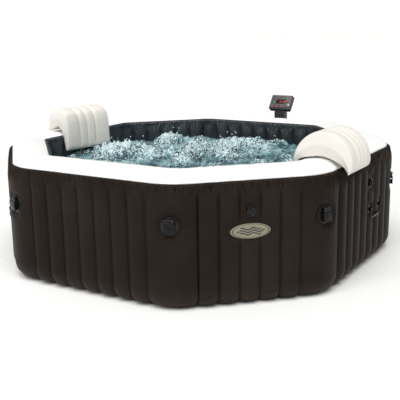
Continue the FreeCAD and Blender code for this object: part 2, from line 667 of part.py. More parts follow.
def make_headrests():
    straddling = pad(straddling_outline(), REST_RIGHT_LEN)
    parts["headrest_right"] = [on_facet(straddling, REST_RIGHT_SIDE, 0, REST_RIGHT)]
    askew = pad(hooked_outline(), REST_LEFT_LEN)
    askew.rotate(Vector(-REST_HOOK, 0, 0), Z, REST_TURN)
    parts["headrest_left"] = [on_facet(askew, REST_LEFT_SIDE, 0, REST_LEFT)]


def on_base(shape, out=0.0, right=0.0, up=0.0):
    return on_facet(shape, BASE_FACET, out, right, up)


def rounded_box(x0, x1, y0, y1, z0, z1, radius):
    return fillet(box(x0, x1, y0, y1, z0, z1), radius, lambda e: points_along(e, 2))


def make_base_shell():
    """Housing in four shells: tray with feet, front half towards the tub, rear half and top deck."""
    x0, x1 = BASE_GAP, BASE_GAP + BASE_D
    y0, y1 = -BASE_W / 2, BASE_W / 2
    z0, z1 = FOOT_H, BASE_H
    split = (x0 + x1) / 2
    w = BASE_WALL
    outer = rounded_box(x0, x1, y0, y1, z0, z1, BASE_R)
    hollow = rounded_box(x0 + w, x1 - w, y0 + w, y1 - w, z0 + w, z1 + 5, BASE_R - w)
    shell = outer.cut(hollow)
    for right, up, _ in PORTS:
        shell = shell.cut(rod(PORT_R + 3, 60, Vector(x0 - 20, right, up), X))
    for i in range(VENTS):
        z = VENT_Z + i * VENT_PITCH
        shell = shell.cut(box(x1 - 20, x1 + 20, -VENT_W / 2, VENT_W / 2, z, z + VENT_H))
    tray_top = z0 + TRAY_H
    tray = shell.common(box(x0 - 1, x1 + 1, y0 - 1, y1 + 1, z0, tray_top))
    front = shell.common(box(x0 - 1, split, y0 - 1, y1 + 1, tray_top, z1))
    rear = shell.common(box(split, x1 + 1, y0 - 1, y1 + 1, tray_top, z1))
    feet = [rod(18, FOOT_H, Vector(x, y, 0), Z) for x in (x0 + BASE_R + 5, x1 - BASE_R - 5)
            for y in (y0 + BASE_R + 10, y1 - BASE_R - 10)]
    parts["base_tray"] = [on_base(tray.fuse(feet))]
    parts["base_front_shell"] = [on_base(front)]
    parts["base_rear_shell"] = [on_base(rear)]
    deck = rounded_box(x0, x1, y0, y1, z1, z1 + DECK_T, BASE_R)
    deck = fillet(deck, 6, lambda e: e.CenterOfMass.z > z1 + DECK_T - 0.1)
    deck = deck.cut(rod(POST_R, 60, Vector(PANEL_OUT, 0, z1 - 10), Z))
    parts["base_deck"] = [on_base(deck)]
    screws = []
    top = z1 + DECK_T
    for x in (x0 + SCREW_IN, x1 - SCREW_IN):
        for y in (y0 + SCREW_IN, y1 - SCREW_IN):
            head = rod(SCREW_R, 2, Vector(x, y, top), Z)
            head = head.cut(box(x - SCREW_R, x + SCREW_R, y - 0.6, y + 0.6, top + 1, top + 3))
            screws.append(on_base(head))
    parts["deck_screws"] = screws


def make_base_inside():
    """Pump, blower, heater, electronics and pipes inside the housing."""
    floor = FOOT_H + BASE_WALL
    x0 = BASE_GAP + BASE_WALL
    make_pump(x0 + PUMP_IN, -WATER_PORT_SPREAD, WATER_PORT_Z, floor)
    make_blower(x0 + FAN_IN, AIR_PORT_Z - FAN_DROP, floor)
    heater_y = WATER_PORT_SPREAD
    heater_x = x0 + HEATER_IN
    can = tube(HEATER_R, HEATER_R - 3, HEATER_L, Vector(heater_x, heater_y, WATER_PORT_Z), X)
    for x in (heater_x + 10, heater_x + HEATER_L - 40):
        can = can.fuse(box(x, x + 20, heater_y - 20, heater_y + 20, floor, WATER_PORT_Z - HEATER_R + 1))
    coil = tube(ELEMENT_R, ELEMENT_R - 4, HEATER_L - 10, Vector(heater_x + 4, heater_y, WATER_PORT_Z), X)
    parts["heater_unit"] = [on_base(can), on_base(coil)]
    pipe_r = PORT_R - PORT_T
    start = PORT_END - PIPE_ENGAGE
    pipes = []
    for y, z, end in ((-WATER_PORT_SPREAD, WATER_PORT_Z, x0 + PUMP_IN - PUMP_W / 2),
                      (WATER_PORT_SPREAD, WATER_PORT_Z, heater_x),
                      (0, AIR_PORT_Z, x0 + FAN_IN - SCROLL_W / 2)):
        pipes.append(on_base(tube(pipe_r, pipe_r - PIPE_WALL, end - start, Vector(start, y, z), X)))
    parts["base_pipes"] = pipes
    side_wall = BASE_W / 2 - BASE_WALL
    x_a, x_b, z_a, z_b = x0 + POWER_BOX[0], x0 + POWER_BOX[1], POWER_BOX[2], POWER_BOX[3]
    case = box(x_a, x_b, side_wall - POWER_BOX_D, side_wall, z_a, z_b)
    case = case.cut(box(x_a + 3, x_b - 3, side_wall - POWER_BOX_D + 3, side_wall - 3, z_a + 3, z_b - 3))
    board = box(x_a + 3, x_b - 3, side_wall - 20, side_wall - 18, z_a + 10, z_b - 10)
    parts["power_box"] = [on_base(case), on_base(board)]


def make_pump(x, y, z, floor):
    """Centrifugal pump: volute on a stand, motor can behind it, and the rotor with its impeller."""
    here = Vector(x, y, z)
    w = PUMP_W / 2
    volute = rod(PUMP_R, PUMP_W, here - X * w, X)
    volute = volute.cut(rod(PUMP_R - PUMP_WALL, PUMP_W - 12, here - X * (w - 6), X))
    volute = volute.cut(rod(SHAFT_R + 3, 60, here - X * 30, X))
    volute = volute.cut(rod(PORT_R - PORT_T - PIPE_WALL, 12, here - X * (w + 1), X))
    stand = box(x - 20, x + 20, y - 40, y + 40, floor, z - PUMP_R + PUMP_WALL)
    stand = stand.cut(rod(PUMP_R - 6, 60, here - X * 30, X))
    behind = w + 1
    motor = tube(MOTOR_R, MOTOR_R - MOTOR_WALL, MOTOR_H, here + X * behind, X)
    back = behind + MOTOR_H - MOTOR_WALL
    motor = motor.fuse(tube(MOTOR_R, SHAFT_R, MOTOR_WALL, here + X * back, X))
    motor = motor.fuse(tube(MOTOR_R, SHAFT_R + 3.5, MOTOR_WALL, here + X * behind, X))
    parts["pump_casing"] = [on_base(volute.fuse(stand)), on_base(motor)]
    impeller = rod(IMPELLER_R, IMPELLER_T, here + X * 4, X)
    for i in range(VANES):
        vane = box(x - 10, x + 4, 8, IMPELLER_R - 2, -1.5, 1.5).rotated(Vector(x, 0, 0), X, i * 360 / VANES)
        impeller = impeller.fuse(vane.translated(Vector(0, y, z)))
    impeller = impeller.fuse(rod(SHAFT_R - RUN_CLEAR, MOTOR_H + 18, here + X * 4, X))
    impeller = impeller.fuse(rod(ROTOR_R, ROTOR_H, here + X * (behind + 10), X))
    parts["pump_rotor"] = [on_base(impeller)]


def make_blower(x, z, floor):
    """Air blower: a drum on a stand with the fan inside."""
    here = Vector(x, 0, z)
    w = SCROLL_W / 2
    scroll = rod(SCROLL_R, SCROLL_W, here - X * w, X)
    scroll = scroll.cut(rod(SCROLL_R - SCROLL_WALL, SCROLL_W - 8, here - X * (w - 4), X))
    scroll = scroll.cut(rod(SCROLL_EYE, 12, here + X * (w - 6), X))
    scroll = scroll.cut(rod(SHAFT_R, 12, here - X * (w + 4), X))
    scroll = scroll.fuse(box(x - 12, x + 12, -20, 20, floor, z - SCROLL_R + 2))
    parts["blower_scroll"] = [on_base(scroll)]
    back = w - 8
    fan = rod(FAN_R, FAN_T, here - X * back, X).fuse(rod(FAN_HUB_R, 40, here - X * back, X))
    fan = fan.fuse(rod(SHAFT_R - RUN_CLEAR, 24, here - X * (back + 22), X))
    for i in range(BLADES):
        blade = box(x - back + 2, x + back - 2, FAN_R - 14, FAN_R, -1, 1)
        blade = blade.rotated(Vector(x, 0, 0), X, i * 360 / BLADES)
        fan = fan.fuse(blade.translated(Vector(0, 0, z)))
    parts["blower_fan"] = [on_base(fan)]


def make_union_nuts():
    """Ribbed nuts that clamp the base to the wall ports."""
    nuts = []
    nut_r = PORT_R + 10
    nut = tube(nut_r, PORT_R + RUN_CLEAR, 22, Vector(FLANGE_T + 2, 0, 0), X)
    for i in range(12):
        nut = nut.cut(rod(2.6, 30, Vector(3, nut_r + 1, 0), X).rotated(Vector(), X, i * 30))
    for right, up, _ in PORTS:
        nuts.append(on_facet(nut, BASE_FACET, 0, right, up))
    parts["union_nuts"] = nuts


def on_panel(shape):
    """Puts a shape modelled with X to the reader's right, Y up the face and Z out of it onto the panel."""
    lean = math.radians(PANEL_LEAN)
    face = Vector(-math.cos(lean), 0, math.sin(lean))
    upward = Vector(math.sin(lean), 0, math.cos(lean))
    turn = Rotation(-Y, upward, face, "ZXY")
    centre = Vector(PANEL_OUT, 0, POST_TOP + PANEL_H / 2 * math.cos(lean) + 6)
    moved = shape.copy()
    moved.Placement = Placement(centre, turn).multiply(shape.Placement)
    return on_base(moved)


def make_panel():
    """Control panel: two shells, window and board, eight buttons, and the post that it swivels on."""
    w, h, t = PANEL_W / 2, PANEL_H / 2, PANEL_T
    rim = PANEL_WALL
    blank = box(-w, w, -h, h, -t, 0)
    blank = fillet(blank, PANEL_R, lambda e: points_along(e, 2))
    opening = (-WINDOW_W / 2, WINDOW_W / 2, WINDOW_UP - WINDOW_H / 2, WINDOW_UP + WINDOW_H / 2)
    front = blank.common(box(-w, w, -h, h, -t / 2, 0))
    front = front.cut(box(-w + rim, w - rim, -h + rim, h - rim, -t, -rim))
    front = front.cut(box(*opening, -5, 1))
    back = blank.common(box(-w, w, -h, h, -t, -t / 2))
    back = back.cut(box(-w + rim, w - rim, -h + rim, h - rim, -t + rim, 0))
    window = box(*opening, -rim, -0.4)
    board = box(-w + rim, w - rim, -h + rim, h - rim, -t / 2 - BOARD_T, -t / 2)
    foot = BUTTON_T - 2
    for name, (x, y) in BUTTONS.items():
        front = front.cut(rod(BUTTON_R + RUN_CLEAR, 10, Vector(x, y, -foot), Z))
        cap = rod(BUTTON_R, BUTTON_T, Vector(x, y, -foot), Z)
        collar_t = foot - rim - BUTTON_TRAVEL - 0.6
        cap = cap.fuse(rod(BUTTON_R + BUTTON_COLLAR, collar_t, Vector(x, y, -foot), Z))
        parts[f"button_{name}"] = [on_panel(cap)]
    parts["panel_front_shell"] = [on_panel(front)]
    parts["display_module"] = [on_panel(window), on_panel(board)]
    deck_top = BASE_H + DECK_T
    post = rod(POST_R - RUN_CLEAR, DECK_T + 10, Vector(PANEL_OUT, 0, BASE_H - 8), Z)
    neck = box(PANEL_OUT - NECK_T / 2, PANEL_OUT + NECK_T / 2, -NECK_W / 2, NECK_W / 2,
               deck_top + 1, POST_TOP + 40)
    hidden = on_panel(box(-w, w, -h - 60, h, -t / 2, 60))
    hollow = on_panel(box(-w + rim, w - rim, -h + rim, h - rim, -t + rim, 60))
    stand = on_base(post.fuse(neck)).cut(hidden).cut(hollow)
    above = on_panel(box(-w - 60, w + 60, -h - 90, h + 90, -t / 2, 90))
    parts["panel_back_shell"] = [on_panel(back).fuse(stand.cut(above))]


def export():
    os.makedirs("parts", exist_ok=True)
    for old in os.listdir("parts"):
        if old.endswith(".step"):
            os.remove(os.path.join("parts", old))
    for name, shapes in sorted(parts.items()):
        solids = [s for shape in shapes for s in shape.Solids]
        for solid in solids:
            if not solid.isValid() or solid.Volume <= 0:
                print("bad solid in", name, solid.isValid(), solid.Volume)
        shape = solids[0] if len(solids) == 1 else Part.makeCompound(solids)
        shape.exportStep(os.path.join("parts", name + ".step"))
    print(len(parts), "nodes,", sum(len(s.Solids) for p in parts.values() for s in p), "solids")


make_skins()
make_webs()
make_valves()
make_badge()
make_buckles()
make_handles()
make_plumbing()
make_filter()
make_headrests()
make_base_shell()
make_base_inside()
make_union_nuts()
make_panel()
export()
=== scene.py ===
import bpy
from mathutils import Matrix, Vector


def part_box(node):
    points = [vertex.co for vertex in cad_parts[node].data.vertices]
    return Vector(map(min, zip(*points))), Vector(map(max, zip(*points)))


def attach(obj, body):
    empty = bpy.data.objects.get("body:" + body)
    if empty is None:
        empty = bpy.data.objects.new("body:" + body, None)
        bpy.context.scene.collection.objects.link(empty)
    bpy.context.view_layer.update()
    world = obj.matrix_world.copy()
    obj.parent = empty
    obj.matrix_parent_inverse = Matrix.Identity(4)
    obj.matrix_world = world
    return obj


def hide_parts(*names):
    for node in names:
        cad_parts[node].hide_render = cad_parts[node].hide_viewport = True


bl_info = {
    "name": "Inflatable Hot Tub",
    "version": (1, 0, 0),
    "blender": (4, 5, 0),
    "location": "3D View > Sidebar > Hot Tub",
    "description": "Builds the skins, pads, water, fittings and finishes of an octagonal inflatable hot tub",
    "category": "Object",
}

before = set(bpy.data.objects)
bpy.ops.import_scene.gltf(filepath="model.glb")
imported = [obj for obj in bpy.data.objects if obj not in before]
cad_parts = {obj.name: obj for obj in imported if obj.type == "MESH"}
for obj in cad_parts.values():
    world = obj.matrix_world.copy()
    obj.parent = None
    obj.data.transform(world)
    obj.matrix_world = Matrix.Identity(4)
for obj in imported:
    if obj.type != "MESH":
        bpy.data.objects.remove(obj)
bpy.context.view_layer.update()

import math

import bmesh
import bpy
import numpy as np
from bpy.props import FloatProperty, IntProperty, PointerProperty, StringProperty
from mathutils import Matrix, Vector

RIM_LOW, RIM_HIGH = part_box("rim_skin")
WALL_LOW, WALL_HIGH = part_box("outer_wall_skin")
LINING_LOW, LINING_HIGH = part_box("inner_wall_skin")
MM = 0.001
HANDLES = ((1, 0.15225), (2, 0.0), (5, -0.15225), (6, 0.0))


# ---------------------------------------------------------------- sizes and colours a user may change

class TubSizes(bpy.types.PropertyGroup):
    beam_pitch: FloatProperty(
        name="Beam pitch", description="Width of one vertical air beam", default=0.1015, unit="LENGTH")
    long_beams: IntProperty(name="Beams, long side", description="Air beams on a long side", default=7)
    short_beams: IntProperty(name="Beams, short side", description="Air beams on a short side", default=5)
    corner_run: FloatProperty(
        name="Corner run", description="From the last beam weld to the sharp corner", default=0.138,
        unit="LENGTH")
    corner_radius: FloatProperty(
        name="Corner radius", description="Radius of the outer wall at a corner", default=0.300,
        unit="LENGTH")
    wall: FloatProperty(
        name="Wall", description="Thickness of the air wall", default=0.220, unit="LENGTH")
    shoulder: FloatProperty(
        name="Shoulder height", description="Where the walls start to lean towards the rim", default=0.540,
        unit="LENGTH")
    foot: FloatProperty(
        name="Foot radius", description="Curve at the foot of the wall", default=0.090, unit="LENGTH")
    lean_out: FloatProperty(
        name="Outer lean", description="How far the outer skin leans in at its seam", default=0.018,
        unit="LENGTH")
    lean_in: FloatProperty(
        name="Inner lean", description="How far the inner skin leans out at its seam", default=0.012,
        unit="LENGTH")
    bulge: FloatProperty(
        name="Bulge", description="How far a beam swells between its welds", default=0.015, unit="LENGTH")
    weld_depth: FloatProperty(
        name="Weld depth", description="How far a weld pulls the skin in", default=0.008, unit="LENGTH")
    gather: FloatProperty(
        name="Gather", description="Height of the puckers under the rim", default=0.019, unit="LENGTH")
    gather_spacing: FloatProperty(
        name="Gather spacing", description="Distance between puckers", default=0.014, unit="LENGTH")
    gather_reach: FloatProperty(
        name="Gather reach", description="How far the puckers run down", default=0.055, unit="LENGTH")


class WaterSizes(bpy.types.PropertyGroup):
    level: FloatProperty(name="Level", description="Height of the water", default=0.512, unit="LENGTH")
    chop: FloatProperty(name="Chop", description="Height of the small waves", default=0.020, unit="LENGTH")
    boil: FloatProperty(
        name="Boil", description="Height of the mounds over the jets", default=0.042, unit="LENGTH")
    droplets: IntProperty(name="Droplets", description="How many splashes fly", default=500)


class PadSizes(bpy.types.PropertyGroup):
    right_length: FloatProperty(
        name="Right pad length", description="Along the rim", default=0.265, unit="LENGTH")
    left_length: FloatProperty(
        name="Left pad length", description="Along the rim", default=0.340, unit="LENGTH")
    channel: FloatProperty(
        name="Channel", description="Depth of the welded channels", default=0.013, unit="LENGTH")
    right_place: FloatProperty(
        name="Right pad", description="Place along its side", default=-0.2275, unit="LENGTH")
    left_place: FloatProperty(
        name="Left pad", description="Place along its side", default=0.060, unit="LENGTH")
    left_turn: FloatProperty(
        name="Left pad turn", description="How far it sits askew", default=math.radians(-10),
        subtype="ANGLE")
    left_hook: FloatProperty(
        name="Left pad lip", description="How far in its lip rests", default=0.118, unit="LENGTH")


class FittingSizes(bpy.types.PropertyGroup):
    badge_width: FloatProperty(name="Badge width", description="Oval badge", default=0.200, unit="LENGTH")
    badge_height: FloatProperty(name="Badge height", description="Oval badge", default=0.075, unit="LENGTH")
    badge_up: FloatProperty(
        name="Badge place", description="Height of its middle", default=0.371, unit="LENGTH")
    valve_up: FloatProperty(
        name="Valve place", description="Height of the inflation valves", default=0.468, unit="LENGTH")
    valve_right: FloatProperty(
        name="Side valve", description="Place of the second valve along its side", default=0.0812,
        unit="LENGTH")
    buckle_up: FloatProperty(
        name="Buckle place", description="Height of the buckles' bars", default=0.445, unit="LENGTH")
    bar_out: FloatProperty(
        name="Buckle bar", description="Distance of the bars from the wall", default=0.015, unit="LENGTH")
    patch_drop: FloatProperty(
        name="Patch drop", description="From the buckles' bars down to the middle of their patches",
        default=0.030, unit="LENGTH")
    handle_up: FloatProperty(
        name="Handle place", description="Height of the handles' pins", default=0.320, unit="LENGTH")
    handle_width: FloatProperty(
        name="Handle width", description="Between the pins", default=0.150, unit="LENGTH")
    handle_drop: FloatProperty(
        name="Handle drop", description="From the pins to the grip", default=0.046, unit="LENGTH")
    handle_out: FloatProperty(
        name="Handle pins", description="Distance of the pins from the wall", default=0.016, unit="LENGTH")
    panel_width: FloatProperty(name="Panel width", description="Control panel", default=0.165, unit="LENGTH")
    panel_height: FloatProperty(
        name="Panel height", description="Control panel", default=0.116, unit="LENGTH")
    panel_lean: FloatProperty(
        name="Panel lean", description="How far its face leans back", default=math.radians(36),
        subtype="ANGLE")


def hex_property(label, text, value):
    return StringProperty(name=label, description=text, default=value)


class Colours(bpy.types.PropertyGroup):
    outer: hex_property("Outer skin", "sRGB hex of the outer wall", "#211b17")
    outer_light: hex_property("Outer skin, worn", "sRGB hex of its lighter parts", "#2a231f")
    inner: hex_property("Inner skin", "sRGB hex of the inner wall", "#1b2226")
    inner_light: hex_property("Inner skin, worn", "sRGB hex of its lighter parts", "#2a333a")
    rim: hex_property("Rim", "sRGB hex of the rim", "#f6f5f3")
    pad: hex_property("Pads", "sRGB hex of the headrests", "#dfdbd3")
    water: hex_property("Water", "sRGB hex of clear water", "#3a5c63")
    shallow: hex_property("Aerated water", "sRGB hex of water full of air", "#7ba1a6")
    badge: hex_property("Badge", "sRGB hex of the badge", "#817a68")
    panel: hex_property("Panel face", "sRGB hex of the control panel's face", "#4c4a48")


# ---------------------------------------------------------------- nodes and materials

def linear(text):
    """Linear RGBA of an sRGB hex colour."""
    values = [int(text[i:i + 2], 16) / 255 for i in (1, 3, 5)]
    return tuple(v / 12.92 if v <= 0.04045 else ((v + 0.055) / 1.055) ** 2.4 for v in values) + (1.0,)


def add(tree, kind, inputs=None, **settings):
    """Adds a node with its settings, and sets or links the inputs given by name or place."""
    node = tree.nodes.new(kind)
    for name, value in settings.items():
        setattr(node, name, value)
    for key, value in (inputs or {}).items():
        if isinstance(value, bpy.types.NodeSocket):
            tree.links.new(value, node.inputs[key])
        else:
            node.inputs[key].default_value = value
    return node


def new_material(name):
    """An empty material with its shader and output, ready for its own nodes."""
    material = bpy.data.materials.get(name)
    if material:
        return material, None, None
    material = bpy.data.materials.new(name)
    material.use_nodes = True
    tree = material.node_tree
    tree.nodes.clear()
    shader = add(tree, "ShaderNodeBsdfPrincipled")
    add(tree, "ShaderNodeOutputMaterial", {"Surface": shader.outputs[0]})
    return material, tree, shader


def stops(ramp, *pairs):
    """Sets a colour ramp's stops from (place, hex) pairs."""
    elements = ramp.color_ramp.elements
    while len(elements) < len(pairs):
        elements.new(0.5)
    for element, (place, colour) in zip(elements, pairs):
        element.position = place
        element.color = linear(colour)


def laminated_vinyl(name, base, light, roughness, grain=1.6, dirt=0.0, sheen=0.5):
    """Laminated PVC film, calendered with a fine leather-like emboss: satin, with soft broad highlights.
    grain is the emboss cell in millimetres, drawn coarser than the real 0.6 mm so that it shows."""
    material, tree, shader = new_material(name)
    if tree is None:
        return material
    place = add(tree, "ShaderNodeTexCoord").outputs["Object"]
    broad = add(tree, "ShaderNodeTexNoise", {"Vector": place, "Scale": 3.0, "Detail": 3.0})
    tone = add(tree, "ShaderNodeValToRGB", {0: broad.outputs[0]})
    stops(tone, (0.35, base), (0.72, light))
    colour = tone.outputs[0]
    if dirt:
        height = add(tree, "ShaderNodeSeparateXYZ", {0: place}).outputs["Z"]
        speck = add(tree, "ShaderNodeTexNoise", {"Vector": place, "Scale": 40.0, "Detail": 5.0})
        low = add(tree, "ShaderNodeMapRange", {0: height, 1: 0.10, 2: 0.0, 3: 0.0, 4: dirt})
        amount = add(tree, "ShaderNodeMath", {0: low.outputs[0], 1: speck.outputs[0]}, operation="MULTIPLY")
        dust = add(tree, "ShaderNodeMix", {0: amount.outputs[0], 6: colour, 7: linear("#6b6258")},
                   data_type="RGBA")
        colour = dust.outputs[2]
    tree.links.new(colour, shader.inputs["Base Color"])
    cells = add(tree, "ShaderNodeTexVoronoi", {"Vector": place, "Scale": 1 / (grain * MM)},
                feature="DISTANCE_TO_EDGE")
    creases = add(tree, "ShaderNodeTexNoise", {"Vector": place, "Scale": 22.0, "Detail": 4.0,
                                               "Distortion": 0.6})
    emboss = add(tree, "ShaderNodeBump", {"Strength": 0.18, "Distance": 0.00015, "Height": cells.outputs[0]})
    soft = add(tree, "ShaderNodeBump", {"Strength": 0.35, "Distance": 0.0022, "Height": creases.outputs[0],
                                        "Normal": emboss.outputs[0]})
    tree.links.new(soft.outputs[0], shader.inputs["Normal"])
    gloss = add(tree, "ShaderNodeMapRange", {0: creases.outputs[0], 3: roughness - 0.06, 4: roughness + 0.08})
    tree.links.new(gloss.outputs[0], shader.inputs["Roughness"])
    shader.inputs["IOR"].default_value = 1.53
    shader.inputs["Specular IOR Level"].default_value = sheen
    return material


def moulded_plastic(name, colour, light, roughness, grain=0.9, strength=0.25, sheen=0.5):
    """Injection-moulded ABS or polypropylene with a spark-eroded texture: even colour, fine sparkle, and a
    little rubbed in broad random patches. grain is the texture's cell in millimetres, coarser than real
    so that it shows."""
    material, tree, shader = new_material(name)
    if tree is None:
        return material
    place = add(tree, "ShaderNodeTexCoord").outputs["Object"]
    fine = add(tree, "ShaderNodeTexNoise", {"Vector": place, "Scale": 1 / (grain * MM), "Detail": 2.0})
    broad = add(tree, "ShaderNodeTexNoise", {"Vector": place, "Scale": 18.0, "Detail": 4.0})
    rubbed = add(tree, "ShaderNodeMapRange", {0: broad.outputs[0], 1: 0.45, 2: 0.8})
    mixed = add(tree, "ShaderNodeMix", {0: rubbed.outputs[0], 6: linear(colour), 7: linear(light)},
                data_type="RGBA")
    tree.links.new(mixed.outputs[2], shader.inputs["Base Color"])
    gloss = add(tree, "ShaderNodeMapRange", {0: broad.outputs[0], 3: roughness - 0.07, 4: roughness + 0.1})
    tree.links.new(gloss.outputs[0], shader.inputs["Roughness"])
    bump = add(tree, "ShaderNodeBump", {"Strength": strength, "Distance": 0.0001, "Height": fine.outputs[0]})
    tree.links.new(bump.outputs[0], shader.inputs["Normal"])
    shader.inputs["IOR"].default_value = 1.5
    shader.inputs["Specular IOR Level"].default_value = sheen
    return material


def black_polypropylene():
    """Injection-moulded black fittings, which show a crisp highlight."""
    return moulded_plastic("glossy black polypropylene", "#060606", "#0e0e0f", 0.16, strength=0.08,
                           sheen=0.3)


def nylon_webbing():
    """Woven polyamide webbing, 1.6 mm ribs across the strap: dull, with a slight sheen."""
    material, tree, shader = new_material("nylon webbing")
    if tree is None:
        return material
    place = add(tree, "ShaderNodeTexCoord").outputs["Object"]
    ribs = add(tree, "ShaderNodeTexWave", {"Vector": place, "Scale": 1 / (1.6 * MM) / 20, "Distortion": 0.4},
               bands_direction="Z")
    tone = add(tree, "ShaderNodeValToRGB", {0: ribs.outputs[1]})
    stops(tone, (0.2, "#0c0c0d"), (0.9, "#1d1c1c"))
    tree.links.new(tone.outputs[0], shader.inputs["Base Color"])
    bump = add(tree, "ShaderNodeBump", {"Strength": 0.6, "Distance": 0.0004, "Height": ribs.outputs[1]})
    tree.links.new(bump.outputs[0], shader.inputs["Normal"])
    shader.inputs["Roughness"].default_value = 0.75
    shader.inputs["Sheen Weight"].default_value = 0.3
    return material


def metal(name, colour, roughness, brushed=0.5):
    """Drawn or plated steel: long fine scratches along Z, 0.5 mm apart."""
    material, tree, shader = new_material(name)
    if tree is None:
        return material
    place = add(tree, "ShaderNodeTexCoord").outputs["Object"]
    across = 1 / (brushed * MM)
    stretch = add(tree, "ShaderNodeMapping", {"Vector": place, "Scale": (across, across, 20.0)})
    lines = add(tree, "ShaderNodeTexNoise", {"Vector": stretch.outputs[0], "Scale": 1.0, "Detail": 3.0})
    gloss = add(tree, "ShaderNodeMapRange", {0: lines.outputs[0], 3: roughness - 0.1, 4: roughness + 0.12})
    tree.links.new(gloss.outputs[0], shader.inputs["Roughness"])
    tint = add(tree, "ShaderNodeMix", {0: lines.outputs[0], 6: linear(colour), 7: linear("#d8d8d6")},
               data_type="RGBA", blend_type="MULTIPLY")
    tree.links.new(tint.outputs[2], shader.inputs["Base Color"])
    shader.inputs["Metallic"].default_value = 1.0
    return material


def display_glow():
    """Light-emitting segments behind a red filter: bright and even."""
    material, tree, shader = new_material("display segments")
    if tree is None:
        return material
    place = add(tree, "ShaderNodeTexCoord").outputs["Object"]
    dots = add(tree, "ShaderNodeTexNoise", {"Vector": place, "Scale": 900.0})
    tone = add(tree, "ShaderNodeValToRGB", {0: dots.outputs[0]})
    stops(tone, (0.3, "#e02415"), (0.7, "#ff4a2c"))
    tree.links.new(tone.outputs[0], shader.inputs["Base Color"])
    tree.links.new(tone.outputs[0], shader.inputs["Emission Color"])
    shader.inputs["Emission Strength"].default_value = 1.6
    shader.inputs["Roughness"].default_value = 0.3
    return material


def badge_plate(colour):
    """Moulded soft PVC badge with a printed dark border and waves: matt, slightly worn on the print."""
    material, tree, shader = new_material("badge plate")
    if tree is None:
        return material
    place = add(tree, "ShaderNodeTexCoord").outputs["Object"]
    ink = add(tree, "ShaderNodeAttribute", attribute_name="ink").outputs["Fac"]
    wear = add(tree, "ShaderNodeTexNoise", {"Vector": place, "Scale": 60.0, "Detail": 5.0})
    plate = add(tree, "ShaderNodeMix", {0: wear.outputs[0], 6: linear(colour), 7: linear("#8f8873")},
                data_type="RGBA")
    kept = add(tree, "ShaderNodeMapRange", {0: wear.outputs[0], 1: 0.2, 2: 0.6, 3: 1.0, 4: 0.88})
    amount = add(tree, "ShaderNodeMath", {0: ink, 1: kept.outputs[0]}, operation="MULTIPLY")
    printed = add(tree, "ShaderNodeMix", {0: amount.outputs[0], 6: plate.outputs[2], 7: linear("#1d1a18")},
                  data_type="RGBA")
    tree.links.new(printed.outputs[2], shader.inputs["Base Color"])
    fine = add(tree, "ShaderNodeTexNoise", {"Vector": place, "Scale": 1100.0})
    bump = add(tree, "ShaderNodeBump", {"Strength": 0.2, "Distance": 0.0001, "Height": fine.outputs[0]})
    tree.links.new(bump.outputs[0], shader.inputs["Normal"])
    shader.inputs["Roughness"].default_value = 0.5
    return material


def churned_water(colours):
    """Hot tub water full of air: clear dark teal and milky teal in broad random patches, with white
    foam flecks of 4 to 12 mm on the crests."""
    material, tree, shader = new_material("churned water")
    if tree is None:
        return material
    place = add(tree, "ShaderNodeTexCoord").outputs["Object"]
    foam = add(tree, "ShaderNodeAttribute", attribute_name="foam").outputs["Fac"]
    patches = add(tree, "ShaderNodeTexNoise", {"Vector": place, "Scale": 9.0, "Detail": 5.0,
                                               "Roughness": 0.65, "Distortion": 1.2})
    depth = add(tree, "ShaderNodeValToRGB", {0: patches.outputs[0]})
    stops(depth, (0.36, "#142c34"), (0.47, colours.water), (0.60, colours.shallow), (0.74, "#aac8cb"))
    flecks = add(tree, "ShaderNodeTexVoronoi", {"Vector": place, "Scale": 1 / 0.011, "Randomness": 1.0})
    mottle = add(tree, "ShaderNodeTexNoise", {"Vector": place, "Scale": 70.0, "Detail": 6.0,
                                              "Roughness": 0.7})
    lace = add(tree, "ShaderNodeMath", {0: flecks.outputs[0], 1: mottle.outputs[0]}, operation="MULTIPLY")
    cover = add(tree, "ShaderNodeMapRange", {0: lace.outputs[0], 1: 0.30, 2: 0.18, 3: 0.0, 4: 0.75})
    raised = add(tree, "ShaderNodeMath", {0: foam, 1: cover.outputs[0]}, operation="ADD")
    white = add(tree, "ShaderNodeMapRange", {0: raised.outputs[0], 1: 0.80, 2: 1.40})
    colour = add(tree, "ShaderNodeMix", {0: white.outputs[0], 6: depth.outputs[0], 7: linear("#d6e6e7")},
                 data_type="RGBA")
    tree.links.new(colour.outputs[2], shader.inputs["Base Color"])
    gloss = add(tree, "ShaderNodeMapRange", {0: white.outputs[0], 3: 0.06, 4: 0.5})
    tree.links.new(gloss.outputs[0], shader.inputs["Roughness"])
    bubbles = add(tree, "ShaderNodeBump", {"Strength": 0.5, "Distance": 0.005, "Height": mottle.outputs[0]})
    fine = add(tree, "ShaderNodeBump", {"Strength": 0.5, "Distance": 0.003, "Height": flecks.outputs[0],
                                        "Normal": bubbles.outputs[0]})
    tree.links.new(fine.outputs[0], shader.inputs["Normal"])
    shader.inputs["IOR"].default_value = 1.33
    return material


def spray():
    """Flying drops and foam bubbles: white with air, wet and bright."""
    material, tree, shader = new_material("spray")
    if tree is None:
        return material
    place = add(tree, "ShaderNodeTexCoord").outputs["Object"]
    tint = add(tree, "ShaderNodeTexNoise", {"Vector": place, "Scale": 30.0})
    tone = add(tree, "ShaderNodeValToRGB", {0: tint.outputs[0]})
    stops(tone, (0.3, "#9fbfc4"), (0.65, "#dfebec"))
    tree.links.new(tone.outputs[0], shader.inputs["Base Color"])
    shader.inputs["Roughness"].default_value = 0.12
    shader.inputs["IOR"].default_value = 1.33
    return material


# ---------------------------------------------------------------- the octagon and its sides

def tub():
    return bpy.context.scene.tub_sizes


def side_length(k):
    beams = tub().long_beams if k % 2 else tub().short_beams
    return beams * tub().beam_pitch + 2 * tub().corner_run


